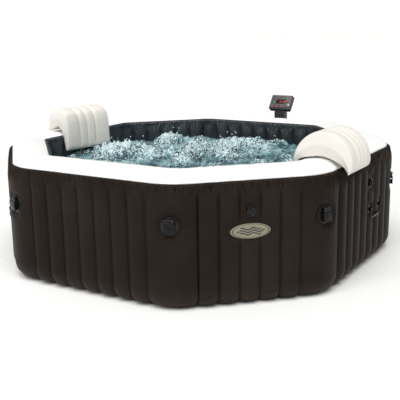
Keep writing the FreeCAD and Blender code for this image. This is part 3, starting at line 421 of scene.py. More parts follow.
def apothem(k):
    """From the tub's axis to the widest line of side k."""
    return (side_length(k) + side_length(k + 1) * math.sqrt(2)) / 2


def facet_turn(k):
    return math.radians(-90 + 45 * k)


def side_matrix(k, out=0.0, right=0.0, up=0.0):
    """Takes X outward, Y to the right and Z up to their place on side k."""
    turn = Matrix.Rotation(facet_turn(k), 4, "Z")
    return Matrix.Translation(turn @ Vector((apothem(k) + out, right, up))) @ turn


def corner_centre(k):
    a, b = facet_turn(k), facet_turn(k + 1)
    p = apothem(k) - tub().corner_radius
    q = apothem(k + 1) - tub().corner_radius
    det = math.cos(a) * math.sin(b) - math.sin(a) * math.cos(b)
    return Vector(((p * math.sin(b) - q * math.sin(a)) / det, (q * math.cos(a) - p * math.cos(b)) / det, 0))


def corner_matrix(k, out=0.0, right=0.0, up=0.0):
    turn = Matrix.Rotation(facet_turn(k) + math.radians(22.5), 4, "Z")
    move = corner_centre(k) + turn @ Vector((tub().corner_radius + out, right, up))
    return Matrix.Translation(move) @ turn


def side_stations(k, per_beam, per_corner):
    """Stations along side k and the corner after it, from its first weld to the next side's first weld.
    Each is (foot point on the widest line, outward normal, place across its beam, half its beam's width)."""
    size = tub()
    beams = size.long_beams if k % 2 else size.short_beams
    pitch = size.beam_pitch
    stations = []
    here = side_matrix(k)
    normal = (here.to_3x3() @ Vector((1, 0, 0))).normalized()
    for i in range(beams * per_beam):
        across = 2 * (i % per_beam) / per_beam - 1
        y = (i / per_beam - beams / 2) * pitch
        stations.append((here @ Vector((0, y, 0)), normal, across, pitch / 2))
    straight = size.corner_run - size.corner_radius * math.tan(math.radians(22.5))
    bend = size.corner_radius * math.radians(45)
    whole = 2 * straight + bend
    centre = corner_centre(k)
    beyond = side_matrix(k + 1)
    after = (beyond.to_3x3() @ Vector((1, 0, 0))).normalized()
    next_beams = size.short_beams if k % 2 else size.long_beams
    for i in range(per_corner + 1):
        run = whole * i / per_corner
        across = 2 * i / per_corner - 1
        if run < straight:
            point = here @ Vector((0, beams / 2 * pitch + run, 0))
            facing = normal
        elif run > straight + bend:
            y = -next_beams / 2 * pitch - (whole - run)
            point = beyond @ Vector((0, y, 0))
            facing = after
        else:
            angle = facet_turn(k) + (run - straight) / size.corner_radius
            facing = Vector((math.cos(angle), math.sin(angle), 0))
            point = centre + facing * size.corner_radius
        stations.append((point, facing, across, whole / 2))
    return stations


# ---------------------------------------------------------------- mesh tools

def link(name, mesh, material, body):
    """Puts a finished mesh in the scene as a piece that rides on a CAD body."""
    piece = bpy.data.objects.new(name, mesh)
    bpy.context.collection.objects.link(piece)
    if material:
        mesh.materials.clear()
        mesh.materials.append(material)
    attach(piece, body)
    return piece


def mesh_of(bm, name, matrix=None, smooth=True):
    """Turns a bmesh into a mesh, moved by matrix, with its faces outward."""
    if matrix is not None:
        bmesh.ops.transform(bm, matrix=matrix, verts=bm.verts)
    bmesh.ops.remove_doubles(bm, verts=bm.verts, dist=1e-6)
    bmesh.ops.recalc_face_normals(bm, faces=bm.faces)
    mesh = bpy.data.meshes.new(name)
    bm.to_mesh(mesh)
    bm.free()
    if smooth:
        mesh.shade_smooth()
        mesh.set_sharp_from_angle(angle=math.radians(38))
    return mesh


def grid_faces(rows, columns, wrap_rows=False, wrap_columns=False):
    """Quads of a grid of points stored row by row."""
    faces = []
    for i in range(rows if wrap_rows else rows - 1):
        for j in range(columns if wrap_columns else columns - 1):
            a, b = i * columns + j, i * columns + (j + 1) % columns
            c, d = (i + 1) % rows * columns + (j + 1) % columns, (i + 1) % rows * columns + j
            faces.append((a, b, c, d))
    return faces


def grid_mesh(name, points, wrap_rows=False, wrap_columns=False, attributes=None):
    """A smooth mesh from a rows x columns x 3 array, with float or vector attributes of the same layout."""
    rows, columns = points.shape[:2]
    mesh = bpy.data.meshes.new(name)
    mesh.from_pydata(points.reshape(-1, 3).tolist(), [], grid_faces(rows, columns, wrap_rows, wrap_columns))
    for key, values in (attributes or {}).items():
        kind = "FLOAT_VECTOR" if values.ndim == 3 else "FLOAT"
        layer = mesh.attributes.new(key, kind, "POINT")
        layer.data.foreach_set("vector" if values.ndim == 3 else "value", values.astype(np.float32).ravel())
    mesh.shade_smooth()
    return mesh


def smooth_line(points, count):
    """A smooth line of count points through the given ones, evenly spaced along it."""
    given = np.array(points, float)
    padded = np.vstack([2 * given[0] - given[1], given, 2 * given[-1] - given[-2]])
    dense = []
    for i in range(1, len(padded) - 2):
        p0, p1, p2, p3 = padded[i - 1:i + 3]
        for t in np.linspace(0, 1, 24, endpoint=False):
            dense.append(0.5 * (2 * p1 + (p2 - p0) * t + (2 * p0 - 5 * p1 + 4 * p2 - p3) * t ** 2
                                + (3 * p1 - p0 - 3 * p2 + p3) * t ** 3))
    dense = np.array(dense + [given[-1]])
    reach = np.concatenate([[0], np.cumsum(np.linalg.norm(np.diff(dense, axis=0), axis=1))])
    places = np.linspace(0, reach[-1], count)
    return np.stack([np.interp(places, reach, dense[:, i]) for i in range(dense.shape[1])], axis=1)


def lathe(bm, profile, steps=48, matrix=None):
    """Adds a turned shape round X to bm: profile is a list of (x, radius), closed where radius is 0."""
    rings = []
    for x, radius in profile:
        if radius < 1e-7:
            rings.append([bm.verts.new((x, 0, 0))])
        else:
            rings.append([bm.verts.new((x, radius * math.cos(t), radius * math.sin(t)))
                          for t in (2 * math.pi * i / steps for i in range(steps))])
    for a, b in zip(rings, rings[1:]):
        for i in range(steps):
            j = (i + 1) % steps
            ends = [a[i % len(a)], a[j % len(a)], b[j % len(b)], b[i % len(b)]]
            bm.faces.new(list(dict.fromkeys(ends)))
    made = [v for ring in rings for v in ring]
    if matrix is not None:
        bmesh.ops.transform(bm, matrix=matrix, verts=made)
    return made


def block(bm, low, high, bevel=0.0, segments=3, matrix=None):
    """Adds a box with rounded edges to bm."""
    made = bmesh.ops.create_cube(bm, size=1.0)["verts"]
    for v in made:
        v.co = Vector([low[i] + (high[i] - low[i]) * (v.co[i] + 0.5) for i in range(3)])
    if bevel:
        edges = list({e for v in made for e in v.link_edges})
        done = bmesh.ops.bevel(bm, geom=edges, offset=bevel, segments=segments, profile=0.5, affect="EDGES")
        made = list({v for f in done["faces"] for v in f.verts} | {v for v in made if v.is_valid})
    if matrix is not None:
        bmesh.ops.transform(bm, matrix=matrix, verts=made)
    return made


def prism(bm, outline, low, high, bevel=0.0, segments=3):
    """Adds a flat shape to bm: an outline of (y, z) points extruded along X from low to high."""
    bottom = [bm.verts.new((low, y, z)) for y, z in outline]
    face = bm.faces.new(bottom)
    raised = bmesh.ops.extrude_face_region(bm, geom=[face])["geom"]
    top = [v for v in raised if isinstance(v, bmesh.types.BMVert)]
    for v in top:
        v.co.x = high
    if bevel:
        edges = [e for e in bm.edges if all(v in top for v in e.verts)]
        bmesh.ops.bevel(bm, geom=edges, offset=bevel, segments=segments, profile=0.5, affect="EDGES")


def sweep(bm, points, radii, sides=16):
    """Adds a round bar along points to bm, with a radius at each one and closed ends."""
    path = [Vector(p) for p in points]
    rings = []
    across = None
    for i, p in enumerate(path):
        ahead = (path[min(i + 1, len(path) - 1)] - path[max(i - 1, 0)]).normalized()
        if across is None:
            across = ahead.orthogonal().normalized()
        across = (across - ahead * across.dot(ahead)).normalized()
        up = ahead.cross(across)
        rings.append([bm.verts.new(p + radii[i] * (across * math.cos(t) + up * math.sin(t)))
                      for t in (2 * math.pi * j / sides for j in range(sides))])
    for a, b in zip(rings, rings[1:]):
        for j in range(sides):
            bm.faces.new((a[j], a[(j + 1) % sides], b[(j + 1) % sides], b[j]))
    bm.faces.new(list(reversed(rings[0])))
    bm.faces.new(rings[-1])


def rounded_rectangle(width, height, radius, steps=6):
    """Points (y, z) round a rectangle with round corners, anticlockwise."""
    points = []
    for sy, sz, start in ((1, -1, -90), (1, 1, 0), (-1, 1, 90), (-1, -1, 180)):
        for i in range(steps + 1):
            t = math.radians(start + 90 * i / steps)
            points.append((sy * (width / 2 - radius) + radius * math.cos(t),
                           sz * (height / 2 - radius) + radius * math.sin(t)))
    return points


# ---------------------------------------------------------------- geometry node trees

def new_tree(name, **sockets):
    """A geometry node tree with a mesh in and out, and named float inputs with these defaults."""
    tree = bpy.data.node_groups.new(name, "GeometryNodeTree")
    tree.interface.new_socket("Geometry", in_out="INPUT", socket_type="NodeSocketGeometry")
    tree.interface.new_socket("Material", in_out="INPUT", socket_type="NodeSocketMaterial")
    for label, value in sockets.items():
        kind = "NodeSocketInt" if isinstance(value, int) else "NodeSocketFloat"
        socket = tree.interface.new_socket(label.replace("_", " "), in_out="INPUT", socket_type=kind)
        socket.default_value = value
    tree.interface.new_socket("Geometry", in_out="OUTPUT", socket_type="NodeSocketGeometry")
    return tree, add(tree, "NodeGroupInput").outputs


def close_tree(tree, geometry, material):
    """Ends a tree: instances made real, then the material."""
    real = add(tree, "GeometryNodeRealizeInstances", {0: geometry})
    painted = add(tree, "GeometryNodeSetMaterial", {"Geometry": real.outputs[0], "Material": material})
    add(tree, "NodeGroupOutput", {0: painted.outputs[0]})
    return tree


def grown(name, mesh, tree, material, **values):
    """The plain mesh that a tree makes from a mesh."""
    seed = bpy.data.objects.new(name, mesh)
    bpy.context.collection.objects.link(seed)
    modifier = seed.modifiers.new("tree", "NODES")
    modifier.node_group = tree
    wanted = {label.replace("_", " "): value for label, value in values.items()}
    wanted["Material"] = material
    for item in tree.interface.items_tree:
        if item.in_out == "INPUT" and item.name in wanted:
            modifier[item.identifier] = wanted[item.name]
    graph = bpy.context.evaluated_depsgraph_get()
    made = bpy.data.meshes.new_from_object(seed.evaluated_get(graph), preserve_all_data_layers=True,
                                           depsgraph=graph)
    bpy.data.objects.remove(seed)
    made.name = name
    return made


def air_beam_tree():
    """Swells a welded skin between its welds, and puckers it along its top and foot seams. It reads the
    skin's own attributes: across, run, top, foot, held and push."""
    tree, given = new_tree("air beams", Bulge=0.011, Weld_depth=0.005, Gather=0.005, Gather_spacing=0.02,
                           Gather_reach=0.045, Web_start=0.05, Foot_gather=0.002, Seed=1.0)

    def reading(name, kind="FLOAT"):
        return add(tree, "GeometryNodeInputNamedAttribute", {"Name": name}, data_type=kind).outputs[0]

    def sum_of(operation, *values):
        return add(tree, "ShaderNodeMath", dict(enumerate(values)), operation=operation).outputs[0]

    across, run, top, foot = (reading(name) for name in ("across", "run", "top", "foot"))
    edge = sum_of("POWER", sum_of("ABSOLUTE", across), 2.1)
    pillow = sum_of("POWER", sum_of("MAXIMUM", sum_of("SUBTRACT", 1.0, edge), 0.0), 0.6)
    wide = sum_of("SUBTRACT", sum_of("MULTIPLY", pillow, sum_of("ADD", given["Bulge"], given["Weld depth"])),
                  given["Weld depth"])
    start = add(tree, "ShaderNodeMapRange", {0: top, 1: sum_of("MULTIPLY", given["Web start"], 0.35),
                                             2: sum_of("MULTIPLY", given["Web start"], 1.7)},
                interpolation_type="SMOOTHSTEP").outputs[0]
    ending = add(tree, "ShaderNodeMapRange", {0: foot, 1: 0.0, 2: 0.10},
                 interpolation_type="SMOOTHSTEP").outputs[0]
    beams = sum_of("MULTIPLY", sum_of("MULTIPLY", wide, start), ending)
    free = sum_of("MULTIPLY", sum_of("SUBTRACT", 1.0, start), sum_of("MULTIPLY", given["Bulge"], 0.45))

    def puckers(distance, spacing, tilt, salt):
        """Ridges that run away from a seam, waving a little, as noise stretched down the skin."""
        along = sum_of("DIVIDE", sum_of("ADD", run, sum_of("MULTIPLY", sum_of(
            "MULTIPLY", across, distance), tilt)), spacing)
        down = sum_of("MULTIPLY", distance, 9.0)
        spot = add(tree, "ShaderNodeCombineXYZ", {0: along, 1: down, 2: sum_of("ADD", given["Seed"], salt)})
        noise = add(tree, "ShaderNodeTexNoise", {"Vector": spot.outputs[0], "Scale": 1.0, "Detail": 1.5,
                                                 "Roughness": 0.45}).outputs[0]
        ridge = sum_of("ABSOLUTE", sum_of("SUBTRACT", noise, 0.5))
        return sum_of("SUBTRACT", 0.55, sum_of("MULTIPLY", ridge, 4.2))

    rise = add(tree, "ShaderNodeMapRange", {0: top, 1: 0.0, 2: 0.012}, interpolation_type="SMOOTHSTEP")
    fall = sum_of("EXPONENT", sum_of("MULTIPLY", sum_of("POWER", sum_of(
        "DIVIDE", top, given["Gather reach"]), 2.0), -1.0))
    upper = sum_of("MULTIPLY", sum_of("MULTIPLY", puckers(top, given["Gather spacing"], 0.35, 0.0),
                                      sum_of("MULTIPLY", fall, rise.outputs[0])), given["Gather"])
    low_fall = sum_of("EXPONENT", sum_of("MULTIPLY", sum_of("POWER", sum_of(
        "DIVIDE", foot, 0.09), 2.0), -1.0))
    low_rise = add(tree, "ShaderNodeMapRange", {0: foot, 1: 0.0, 2: 0.03}, interpolation_type="SMOOTHSTEP")
    lower = sum_of("MULTIPLY", sum_of("MULTIPLY", puckers(foot, 0.035, 0.2, 7.0),
                                      sum_of("MULTIPLY", low_fall, low_rise.outputs[0])),
                   given["Foot gather"])
    swell = sum_of("ADD", sum_of("ADD", beams, sum_of("MULTIPLY", free, rise.outputs[0])),
                   sum_of("ADD", upper, lower))
    total = sum_of("MULTIPLY", swell, sum_of("SUBTRACT", 1.0, reading("held")))
    push = add(tree, "ShaderNodeVectorMath", {0: reading("push", "FLOAT_VECTOR"), "Scale": total},
               operation="SCALE")
    moved = add(tree, "GeometryNodeSetPosition", {"Geometry": given["Geometry"], "Offset": push.outputs[0]})
    return close_tree(tree, moved.outputs[0], given["Material"])


def scatter_tree():
    """Small round drops scattered over a surface, denser where its attribute named foam is high."""
    tree, given = new_tree("spray", Density=4000.0, Size=0.004, Lift=0.03, Start=0.5, Seed=3)
    foam = add(tree, "GeometryNodeInputNamedAttribute", {"Name": "foam"}, data_type="FLOAT").outputs[0]
    chance = add(tree, "ShaderNodeMapRange", {0: foam, 1: given["Start"], 2: 1.1, 4: given["Density"]})
    points = add(tree, "GeometryNodeDistributePointsOnFaces",
                 {"Mesh": given["Geometry"], "Density": chance.outputs[0], "Seed": given["Seed"]})
    lift = add(tree, "FunctionNodeRandomValue", {2: 0.0, 3: 1.0, 8: 11}, data_type="FLOAT").outputs[1]
    sharp = add(tree, "ShaderNodeMath", {0: lift, 1: 3.0}, operation="POWER")
    height = add(tree, "ShaderNodeMath", {0: sharp.outputs[0], 1: given["Lift"]}, operation="MULTIPLY")
    up = add(tree, "ShaderNodeCombineXYZ", {2: height.outputs[0]})
    flown = add(tree, "GeometryNodeSetPosition", {"Geometry": points.outputs[0], "Offset": up.outputs[0]})
    drop = add(tree, "GeometryNodeMeshIcoSphere", {"Radius": given["Size"], "Subdivisions": 1})
    size = add(tree, "FunctionNodeRandomValue", {2: 0.35, 3: 1.25, 8: 5}, data_type="FLOAT").outputs[1]
    turn = add(tree, "FunctionNodeRandomValue", {0: (0, 0, 0), 1: (6.28, 6.28, 6.28), 8: 6},
               data_type="FLOAT_VECTOR").outputs[0]
    placed = add(tree, "GeometryNodeInstanceOnPoints",
                 {"Points": flown.outputs[0], "Instance": drop.outputs[0], "Rotation": turn, "Scale": size})
    return close_tree(tree, placed.outputs[0], given["Material"])


def repeat_tree():
    """Copies a unit onto points, each turned by the point's attribute named turn."""
    tree, given = new_tree("repeated")
    tree.interface.new_socket("Unit", in_out="INPUT", socket_type="NodeSocketObject")
    unit = add(tree, "GeometryNodeObjectInfo", {"Object": given["Unit"]})
    turn = add(tree, "GeometryNodeInputNamedAttribute", {"Name": "turn"}, data_type="FLOAT_VECTOR")
    copies = add(tree, "GeometryNodeInstanceOnPoints",
                 {"Points": given["Geometry"], "Instance": unit.outputs["Geometry"],
                  "Rotation": turn.outputs[0]})
    return close_tree(tree, copies.outputs[0], given["Material"])


def repeated(name, unit, matrices, material):
    """One mesh with a copy of the unit mesh at each matrix."""
    spots = bpy.data.meshes.new(name + "_spots")
    spots.from_pydata([m.translation for m in matrices], [], [])
    layer = spots.attributes.new("turn", "FLOAT_VECTOR", "POINT")
    layer.data.foreach_set("vector", [angle for m in matrices for angle in m.to_euler()])
    holder = bpy.data.objects.new(name + "_unit", unit)
    bpy.context.collection.objects.link(holder)
    made = grown(name, spots, repeat_tree(), material, Unit=holder)
    bpy.data.objects.remove(holder)
    return made


# ---------------------------------------------------------------- skins

def section_lengths(section):
    steps = np.linalg.norm(np.diff(section, axis=0), axis=1)
    return np.concatenate([[0], np.cumsum(steps)])


def arc_points(centre, radius, start, end, count):
    angles = np.radians(np.linspace(start, end, count))
    return [(centre[0] + radius * math.cos(a), centre[1] + radius * math.sin(a)) for a in angles]


def outer_section():
    """Outer skin from its top seam down to the floor seam: (outward, up)."""
    size = tub()
    height = WALL_HIGH[2] - size.shoulder
    radius = (size.lean_out ** 2 + height ** 2) / (2 * size.lean_out)
    lean = math.degrees(math.asin(height / radius))
    points = arc_points((-radius, size.shoulder), radius, lean, 0, 20)
    points += [(0.0, z) for z in np.linspace(size.shoulder, size.foot, 24)[1:-1]]
    points += arc_points((-size.foot, size.foot), size.foot, 0, -90, 16)
    return np.array(points)


def inner_section():
    """Inner skin from its top seam down to the floor sheet."""
    size = tub()
    height = LINING_HIGH[2] - size.shoulder
    radius = (size.lean_in ** 2 + height ** 2) / (2 * size.lean_in)
    lean = math.degrees(math.asin(height / radius))
    points = arc_points((-size.wall + radius, size.shoulder), radius, 180 - lean, 180, 20)
    points += [(-size.wall, z) for z in np.linspace(size.shoulder, LINING_LOW[2] + MM, 22)[1:]]
    return np.array(points)


def rim_section(count=34):
    """White rim from the outer seam over the crest to the inner seam."""
    size = tub()
    outside = (-size.lean_out, WALL_HIGH[2])
    inside = (-size.wall + size.lean_in, LINING_HIGH[2])
    crest = ((outside[0] + inside[0]) / 2, RIM_HIGH[2])
    points = []
    for end, flip in ((outside, False), (inside, True)):
        dx, dz = abs(end[0] - crest[0]), crest[1] - end[1]
        radius = (dx * dx + dz * dz) / (2 * dz)
        reach = math.degrees(math.atan2(end[1] - (crest[1] - radius), end[0] - crest[0]))
        points += arc_points((crest[0], crest[1] - radius), radius, 90 if flip else reach,
                             reach if flip else 90, count // 2 + (0 if flip else 1))[1 if flip else 0:]
    return np.array(points)


def outer_holds():
    """Places where a welded fitting holds the outer skin flat: (matrix, half width, half height)."""
    fit = bpy.context.scene.tub_fittings
    holds = [(side_matrix(0, 0, 0, fit.badge_up), fit.badge_width * 0.54, fit.badge_height * 0.60),
             (side_matrix(0, 0, 0, fit.valve_up), 0.036, 0.036),
             (side_matrix(1, 0, fit.valve_right, fit.valve_up), 0.036, 0.036),
             (side_matrix(4, 0, 0, 0.120), 0.034, 0.034),
             (side_matrix(3, 0, 0, 0.480), 0.044, 0.044)]
    holds += [(side_matrix(3, 0, y, 0.190), 0.044, 0.044) for y in (-0.1015, 0.1015)]
    holds += [(corner_matrix(k, 0, 0, fit.buckle_up - fit.patch_drop), 0.050, 0.050) for k in range(8)]
    half = fit.handle_width / 2
    holds += [(side_matrix(k, 0, y + side, fit.handle_up), 0.029, 0.029)
              for k, y in HANDLES for side in (-half, half)]
    return holds


def inner_holds():
    """Places where jets, strainers and the filter's hanger hold the inner skin flat."""
    wall = -tub().wall
    holds = [(side_matrix(k, wall, 0, 0.300), 0.042, 0.042) for k in (1, 3, 5, 7)]
    holds += [(side_matrix(3, wall, y, 0.190), 0.048, 0.048) for y in (-0.1015, 0.1015)]
    holds += [(side_matrix(3, wall, 0.264, 0.300), 0.040, 0.090),
              (side_matrix(4, wall, 0, 0.120), 0.032, 0.032)]
    return holds


def skin_mesh(name, section, stations, facing, start_run, closed=False, holds=()):
    """A skin swept along stations, with the attributes that the air beam tree reads."""
    lengths = section_lengths(section)
    tangent = np.gradient(section, axis=0)
    tangent /= np.linalg.norm(tangent, axis=1)[:, None]
    outward = np.stack([-tangent[:, 1], tangent[:, 0]], axis=1) * facing
    feet = np.array([s[0] for s in stations])
    normals = np.array([s[1] for s in stations])
    runs = start_run + np.concatenate([[0], np.cumsum(np.linalg.norm(np.diff(feet, axis=0), axis=1))])
    points = feet[None] + normals[None] * section[:, 0][:, None, None]
    points[:, :, 2] = section[:, 1][:, None]
    push = normals[None] * outward[:, 0][:, None, None]
    push[:, :, 2] = outward[:, 1][:, None]
    shape = points.shape[:2]
    held = np.zeros(shape)
    for matrix, half_width, half_height in holds:
        local = (points - np.array(matrix.translation)) @ np.array(matrix.to_3x3())
        distance = np.hypot(local[:, :, 1] / half_width, local[:, :, 2] / half_height)
        distance[np.abs(local[:, :, 0]) > 0.1] = 9.0
        near = np.clip((1.45 - distance) / 0.45, 0, 1)
        held = np.maximum(held, near * near * (3 - 2 * near))
    attributes = {
        "held": held,
        "across": np.broadcast_to([s[2] for s in stations], shape),
        "run": np.broadcast_to(runs, shape),
        "top": np.broadcast_to(lengths[:, None], shape),
        "foot": np.broadcast_to((lengths[-1] - lengths)[:, None], shape),
        "push": push}
    return grid_mesh(name, points, wrap_columns=closed, attributes=attributes), runs[-1]


def thicken(piece, thickness, offset=-1.0):
    """Gives a skin its thickness and leaves a plain mesh."""
    modifier = piece.modifiers.new("skin", "SOLIDIFY")
    modifier.thickness = thickness
    modifier.offset = offset
    graph = bpy.context.evaluated_depsgraph_get()
    made = bpy.data.meshes.new_from_object(piece.evaluated_get(graph), preserve_all_data_layers=True,
                                           depsgraph=graph)
    piece.modifiers.clear()
    piece.data = made
    made.shade_smooth()


def build_skin_sides(label, section, facing, holds, material, slot, node, counts, **shape):
    tree = air_beam_tree()
    run = 0.0
    pieces = []
    for k in range(8):
        stations = side_stations(k, *counts)
        flat, run = skin_mesh(f"{label}_{k + 1}", section, stations, facing, run, holds=holds)
        mesh = grown(f"{label}_{k + 1}", flat, tree, material, **shape)
        piece = link(f"{label}_{k + 1}", mesh, material, "root")
        thicken(piece, -0.0015 * facing)
        pieces.append(piece)
    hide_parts(node)
    return pieces


class TUB_OT_outer_wall(bpy.types.Operator):
    """Fluted outer skin, in eight sides"""
    bl_idname = "tub.outer_wall"
    bl_label = "Outer wall"

    def execute(self, context):
        size = tub()
        colours = context.scene.tub_colours
        vinyl = laminated_vinyl("outer vinyl", colours.outer, colours.outer_light, 0.46, dirt=0.25,
                                sheen=0.05)
        build_skin_sides("outer_wall", outer_section(), 1, outer_holds(), vinyl, "dark_pvc",
                         "outer_wall_skin", (32, 72), Bulge=size.bulge, Weld_depth=size.weld_depth,
                         Gather=size.gather,
                         Gather_spacing=size.gather_spacing, Gather_reach=size.gather_reach,
                         Web_start=0.055, Foot_gather=0.004, Seed=2.0)
        return {"FINISHED"}


class TUB_OT_inner_wall(bpy.types.Operator):
    """Fluted inner skin, in eight sides"""
    bl_idname = "tub.inner_wall"
    bl_label = "Inner wall"

    def execute(self, context):
        size = tub()
        colours = context.scene.tub_colours
        vinyl = laminated_vinyl("inner vinyl", colours.inner, colours.inner_light, 0.38, sheen=0.5)
        build_skin_sides("inner_wall", inner_section(), -1, inner_holds(), vinyl, "slate_pvc",
                         "inner_wall_skin", (24, 48), Bulge=size.bulge * 1.3, Weld_depth=size.weld_depth,
                         Gather=size.gather,
                         Gather_spacing=size.gather_spacing, Gather_reach=size.gather_reach,
                         Web_start=0.05, Foot_gather=0.002, Seed=9.0)
        return {"FINISHED"}


class TUB_OT_rim(bpy.types.Operator):
    """White padded rim"""
    bl_idname = "tub.rim"
    bl_label = "Rim"

    def execute(self, context):
        colours = context.scene.tub_colours
        vinyl = laminated_vinyl("rim vinyl", colours.rim, "#fbfbfa", 0.40, grain=1.4)
        stations = []
        for k in range(8):
            stations += side_stations(k, 16, 36)[:-1]
        flat, _ = skin_mesh("rim", rim_section(), stations, -1, 0.0, closed=True)
        mesh = grown("rim", flat, air_beam_tree(), vinyl, Bulge=0.0022, Weld_depth=0.0015, Gather=0.0055,
                     Gather_spacing=0.026, Gather_reach=0.032, Web_start=0.03, Foot_gather=0.003, Seed=4.0)
        piece = link("rim", mesh, vinyl, "root")
        thicken(piece, 0.0015, 1.0)
        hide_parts("rim_skin")
        return {"FINISHED"}


# ---------------------------------------------------------------- headrests

def pad_mesh(name, outer, under, length, channel, matrix):
    """An arched pad: a crescent section, three welded channels on its back, and softly closed ends."""
    count = 64
    back = smooth_line(outer, count)
    belly = smooth_line(under, count)
    middle = (back + belly) / 2
    half = (back - belly) / 2
    u = np.linspace(0, 1, count)
    tip = np.sqrt(np.clip(1 - (1 - np.clip(np.minimum(u, 1 - u) / 0.05, 0, 1)) ** 2, 0, 1))
    half = half * tip[:, None]
    edge = 0.030
    steps = 76
    places = []
    for i in range(steps + 1):
        t = i / steps
        places.append((t, 1.0))
    rows = []
    cap = 9
    for i in range(cap):
        rows.append((0.0, 0.9 * i / cap))
    for t, _ in places:
        y = t * length
        near = min(y, length - y)
        full = 1.0 if near > edge else 0.9 + 0.1 * math.sqrt(max(0.0, 1 - (1 - near / edge) ** 2))
        rows.append((t, full))
    for i in range(cap):
        rows.append((1.0, 0.9 * (cap - 1 - i) / cap))
    channels = (0.33, 0.53, 0.71)
    grid = []
    for t, full in rows:
        dip = sum(math.exp(-(abs(t - c) * length / 0.0065) ** 1.3) for c in channels)
        borders = (0.0,) + channels + (1.0,)
        swell = 0.0
        for a, b in zip(borders, borders[1:]):
            if a <= t <= b:
                swell = 1 - abs(2 * (t - a) / (b - a) - 1) ** 2.5
        taper = np.sin(np.pi * np.clip(u * 1.04 - 0.02, 0, 1)) ** 0.45
        relief = (swell * 0.006 - dip * channel) * taper
        normal = half / np.maximum(np.linalg.norm(half, axis=1), 1e-9)[:, None]
        crown = 0.010 * (1 - full / 0.9) if full < 0.9 else 0.0
        y = (t - 0.5) * length + (crown if t > 0.5 else -crown)
        top = middle + half * full + normal * (relief * (1 if full >= 0.9 else full))[:, None]
        bottom = middle - half * full
        ring = np.vstack([top, bottom[::-1]])
        grid.append(np.column_stack([ring[:, 0], np.full(len(ring), y), ring[:, 1]]))
    points = np.array(grid)
    mesh = grid_mesh(name, points, wrap_columns=True)
    bm = bmesh.new()
    bm.from_mesh(mesh)
    bmesh.ops.remove_doubles(bm, verts=bm.verts, dist=0.00005)
    bmesh.ops.dissolve_degenerate(bm, edges=bm.edges, dist=0.00005)
    return mesh_of(bm, name, matrix, smooth=False)


def straddling_lines():
    """Back and belly of the right pad, from its outer tip over the crest to its inner tip."""
    wall = tub().wall
    crest = RIM_HIGH[2] + 0.003
    out, inside = 0.064, 0.031
    radius = (out + wall + inside) / 2
    middle = (out - radius, crest - 0.028)
    back = [(0.046, crest - 0.072)]
    back += arc_points(middle, radius, -8, 180, 11)
    back += [(-wall - inside - 0.001, crest - 0.070), (-wall - inside + 0.009, crest - 0.104)]
    belly = [(0.042, crest - 0.070), (0.022, crest - 0.040), (-0.014, crest - 0.018), (-0.060, crest + 0.001),
             (-wall / 2, crest + 0.008), (-wall * 0.74, crest + 0.002), (-wall + 0.006, crest - 0.010),
             (-wall - 0.007, crest - 0.042), (-wall - 0.010, crest - 0.082), (-wall - 0.020, crest - 0.102)]
    return back, belly


def hooked_lines():
    """Back and belly of the left pad, from the lip on the crest down the leg in the water."""
    wall = tub().wall
    crest = RIM_HIGH[2] + 0.003
    lip = -bpy.context.scene.tub_pads.left_hook
    face = -wall - 0.028
    back = [(lip - 0.001, crest + 0.006), (lip - 0.005, crest + 0.066), (lip - 0.032, crest + 0.116),
            (lip - 0.080, crest + 0.142), (face - 0.022, crest + 0.120), (face - 0.046, crest + 0.078),
            (face - 0.055, crest + 0.020), (face - 0.058, crest - 0.040), (face - 0.056, crest - 0.108)]
    belly = [(lip - 0.003, crest + 0.004), (lip - 0.024, crest + 0.012), (face + 0.046, crest + 0.034),
             (face + 0.010, crest + 0.010), (face - 0.006, crest - 0.040), (face - 0.026, crest - 0.112)]
    return back, belly


class TUB_OT_headrests(bpy.types.Operator):
    """Two arched inflatable headrests on the rim"""
    bl_idname = "tub.headrests"
    bl_label = "Headrests"

    def execute(self, context):
        sizes = context.scene.tub_pads
        film = laminated_vinyl("pad film", context.scene.tub_colours.pad, "#e8e4dd", 0.55, grain=1.2,
                               sheen=0.25)
        right = side_matrix(1, 0, sizes.right_place)
        hook = Vector((-sizes.left_hook, 0, 0))
        turn = Matrix.Rotation(sizes.left_turn, 4, "Z")
        askew = Matrix.Translation(hook) @ turn @ Matrix.Translation(-hook)
        left = side_matrix(5, 0, sizes.left_place) @ askew
        for name, lines, length, matrix in (("right", straddling_lines(), sizes.right_length, right),
                                            ("left", hooked_lines(), sizes.left_length, left)):
            mesh = pad_mesh(f"headrest_{name}_pad", *lines, length, sizes.channel, matrix)
            mesh.shade_smooth()
            piece = link(f"headrest_{name}_pad", mesh, film, f"headrest_{name}")
            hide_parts(f"headrest_{name}")
        return {"FINISHED"}


# ---------------------------------------------------------------- water

def octave_noise(x, y, seed, octaves=5, scale=4.0, gain=0.55):
    """Sums of crossing waves at rising frequencies: smooth, repeatable noise in about -1 to 1."""
    rng = np.random.default_rng(seed)
    total = np.zeros_like(x)
    size = 1.0
    for _ in range(octaves):
        for _ in range(7):
            angle = rng.uniform(0, math.tau)
            phase = rng.uniform(0, math.tau)
            pitch = scale * rng.uniform(0.7, 1.4)
            along = x * math.cos(angle) + y * math.sin(angle)
            total += size / 3.2 * np.sin(math.tau * pitch * along + phase)
        size *= gain
        scale *= 2.1
    return total


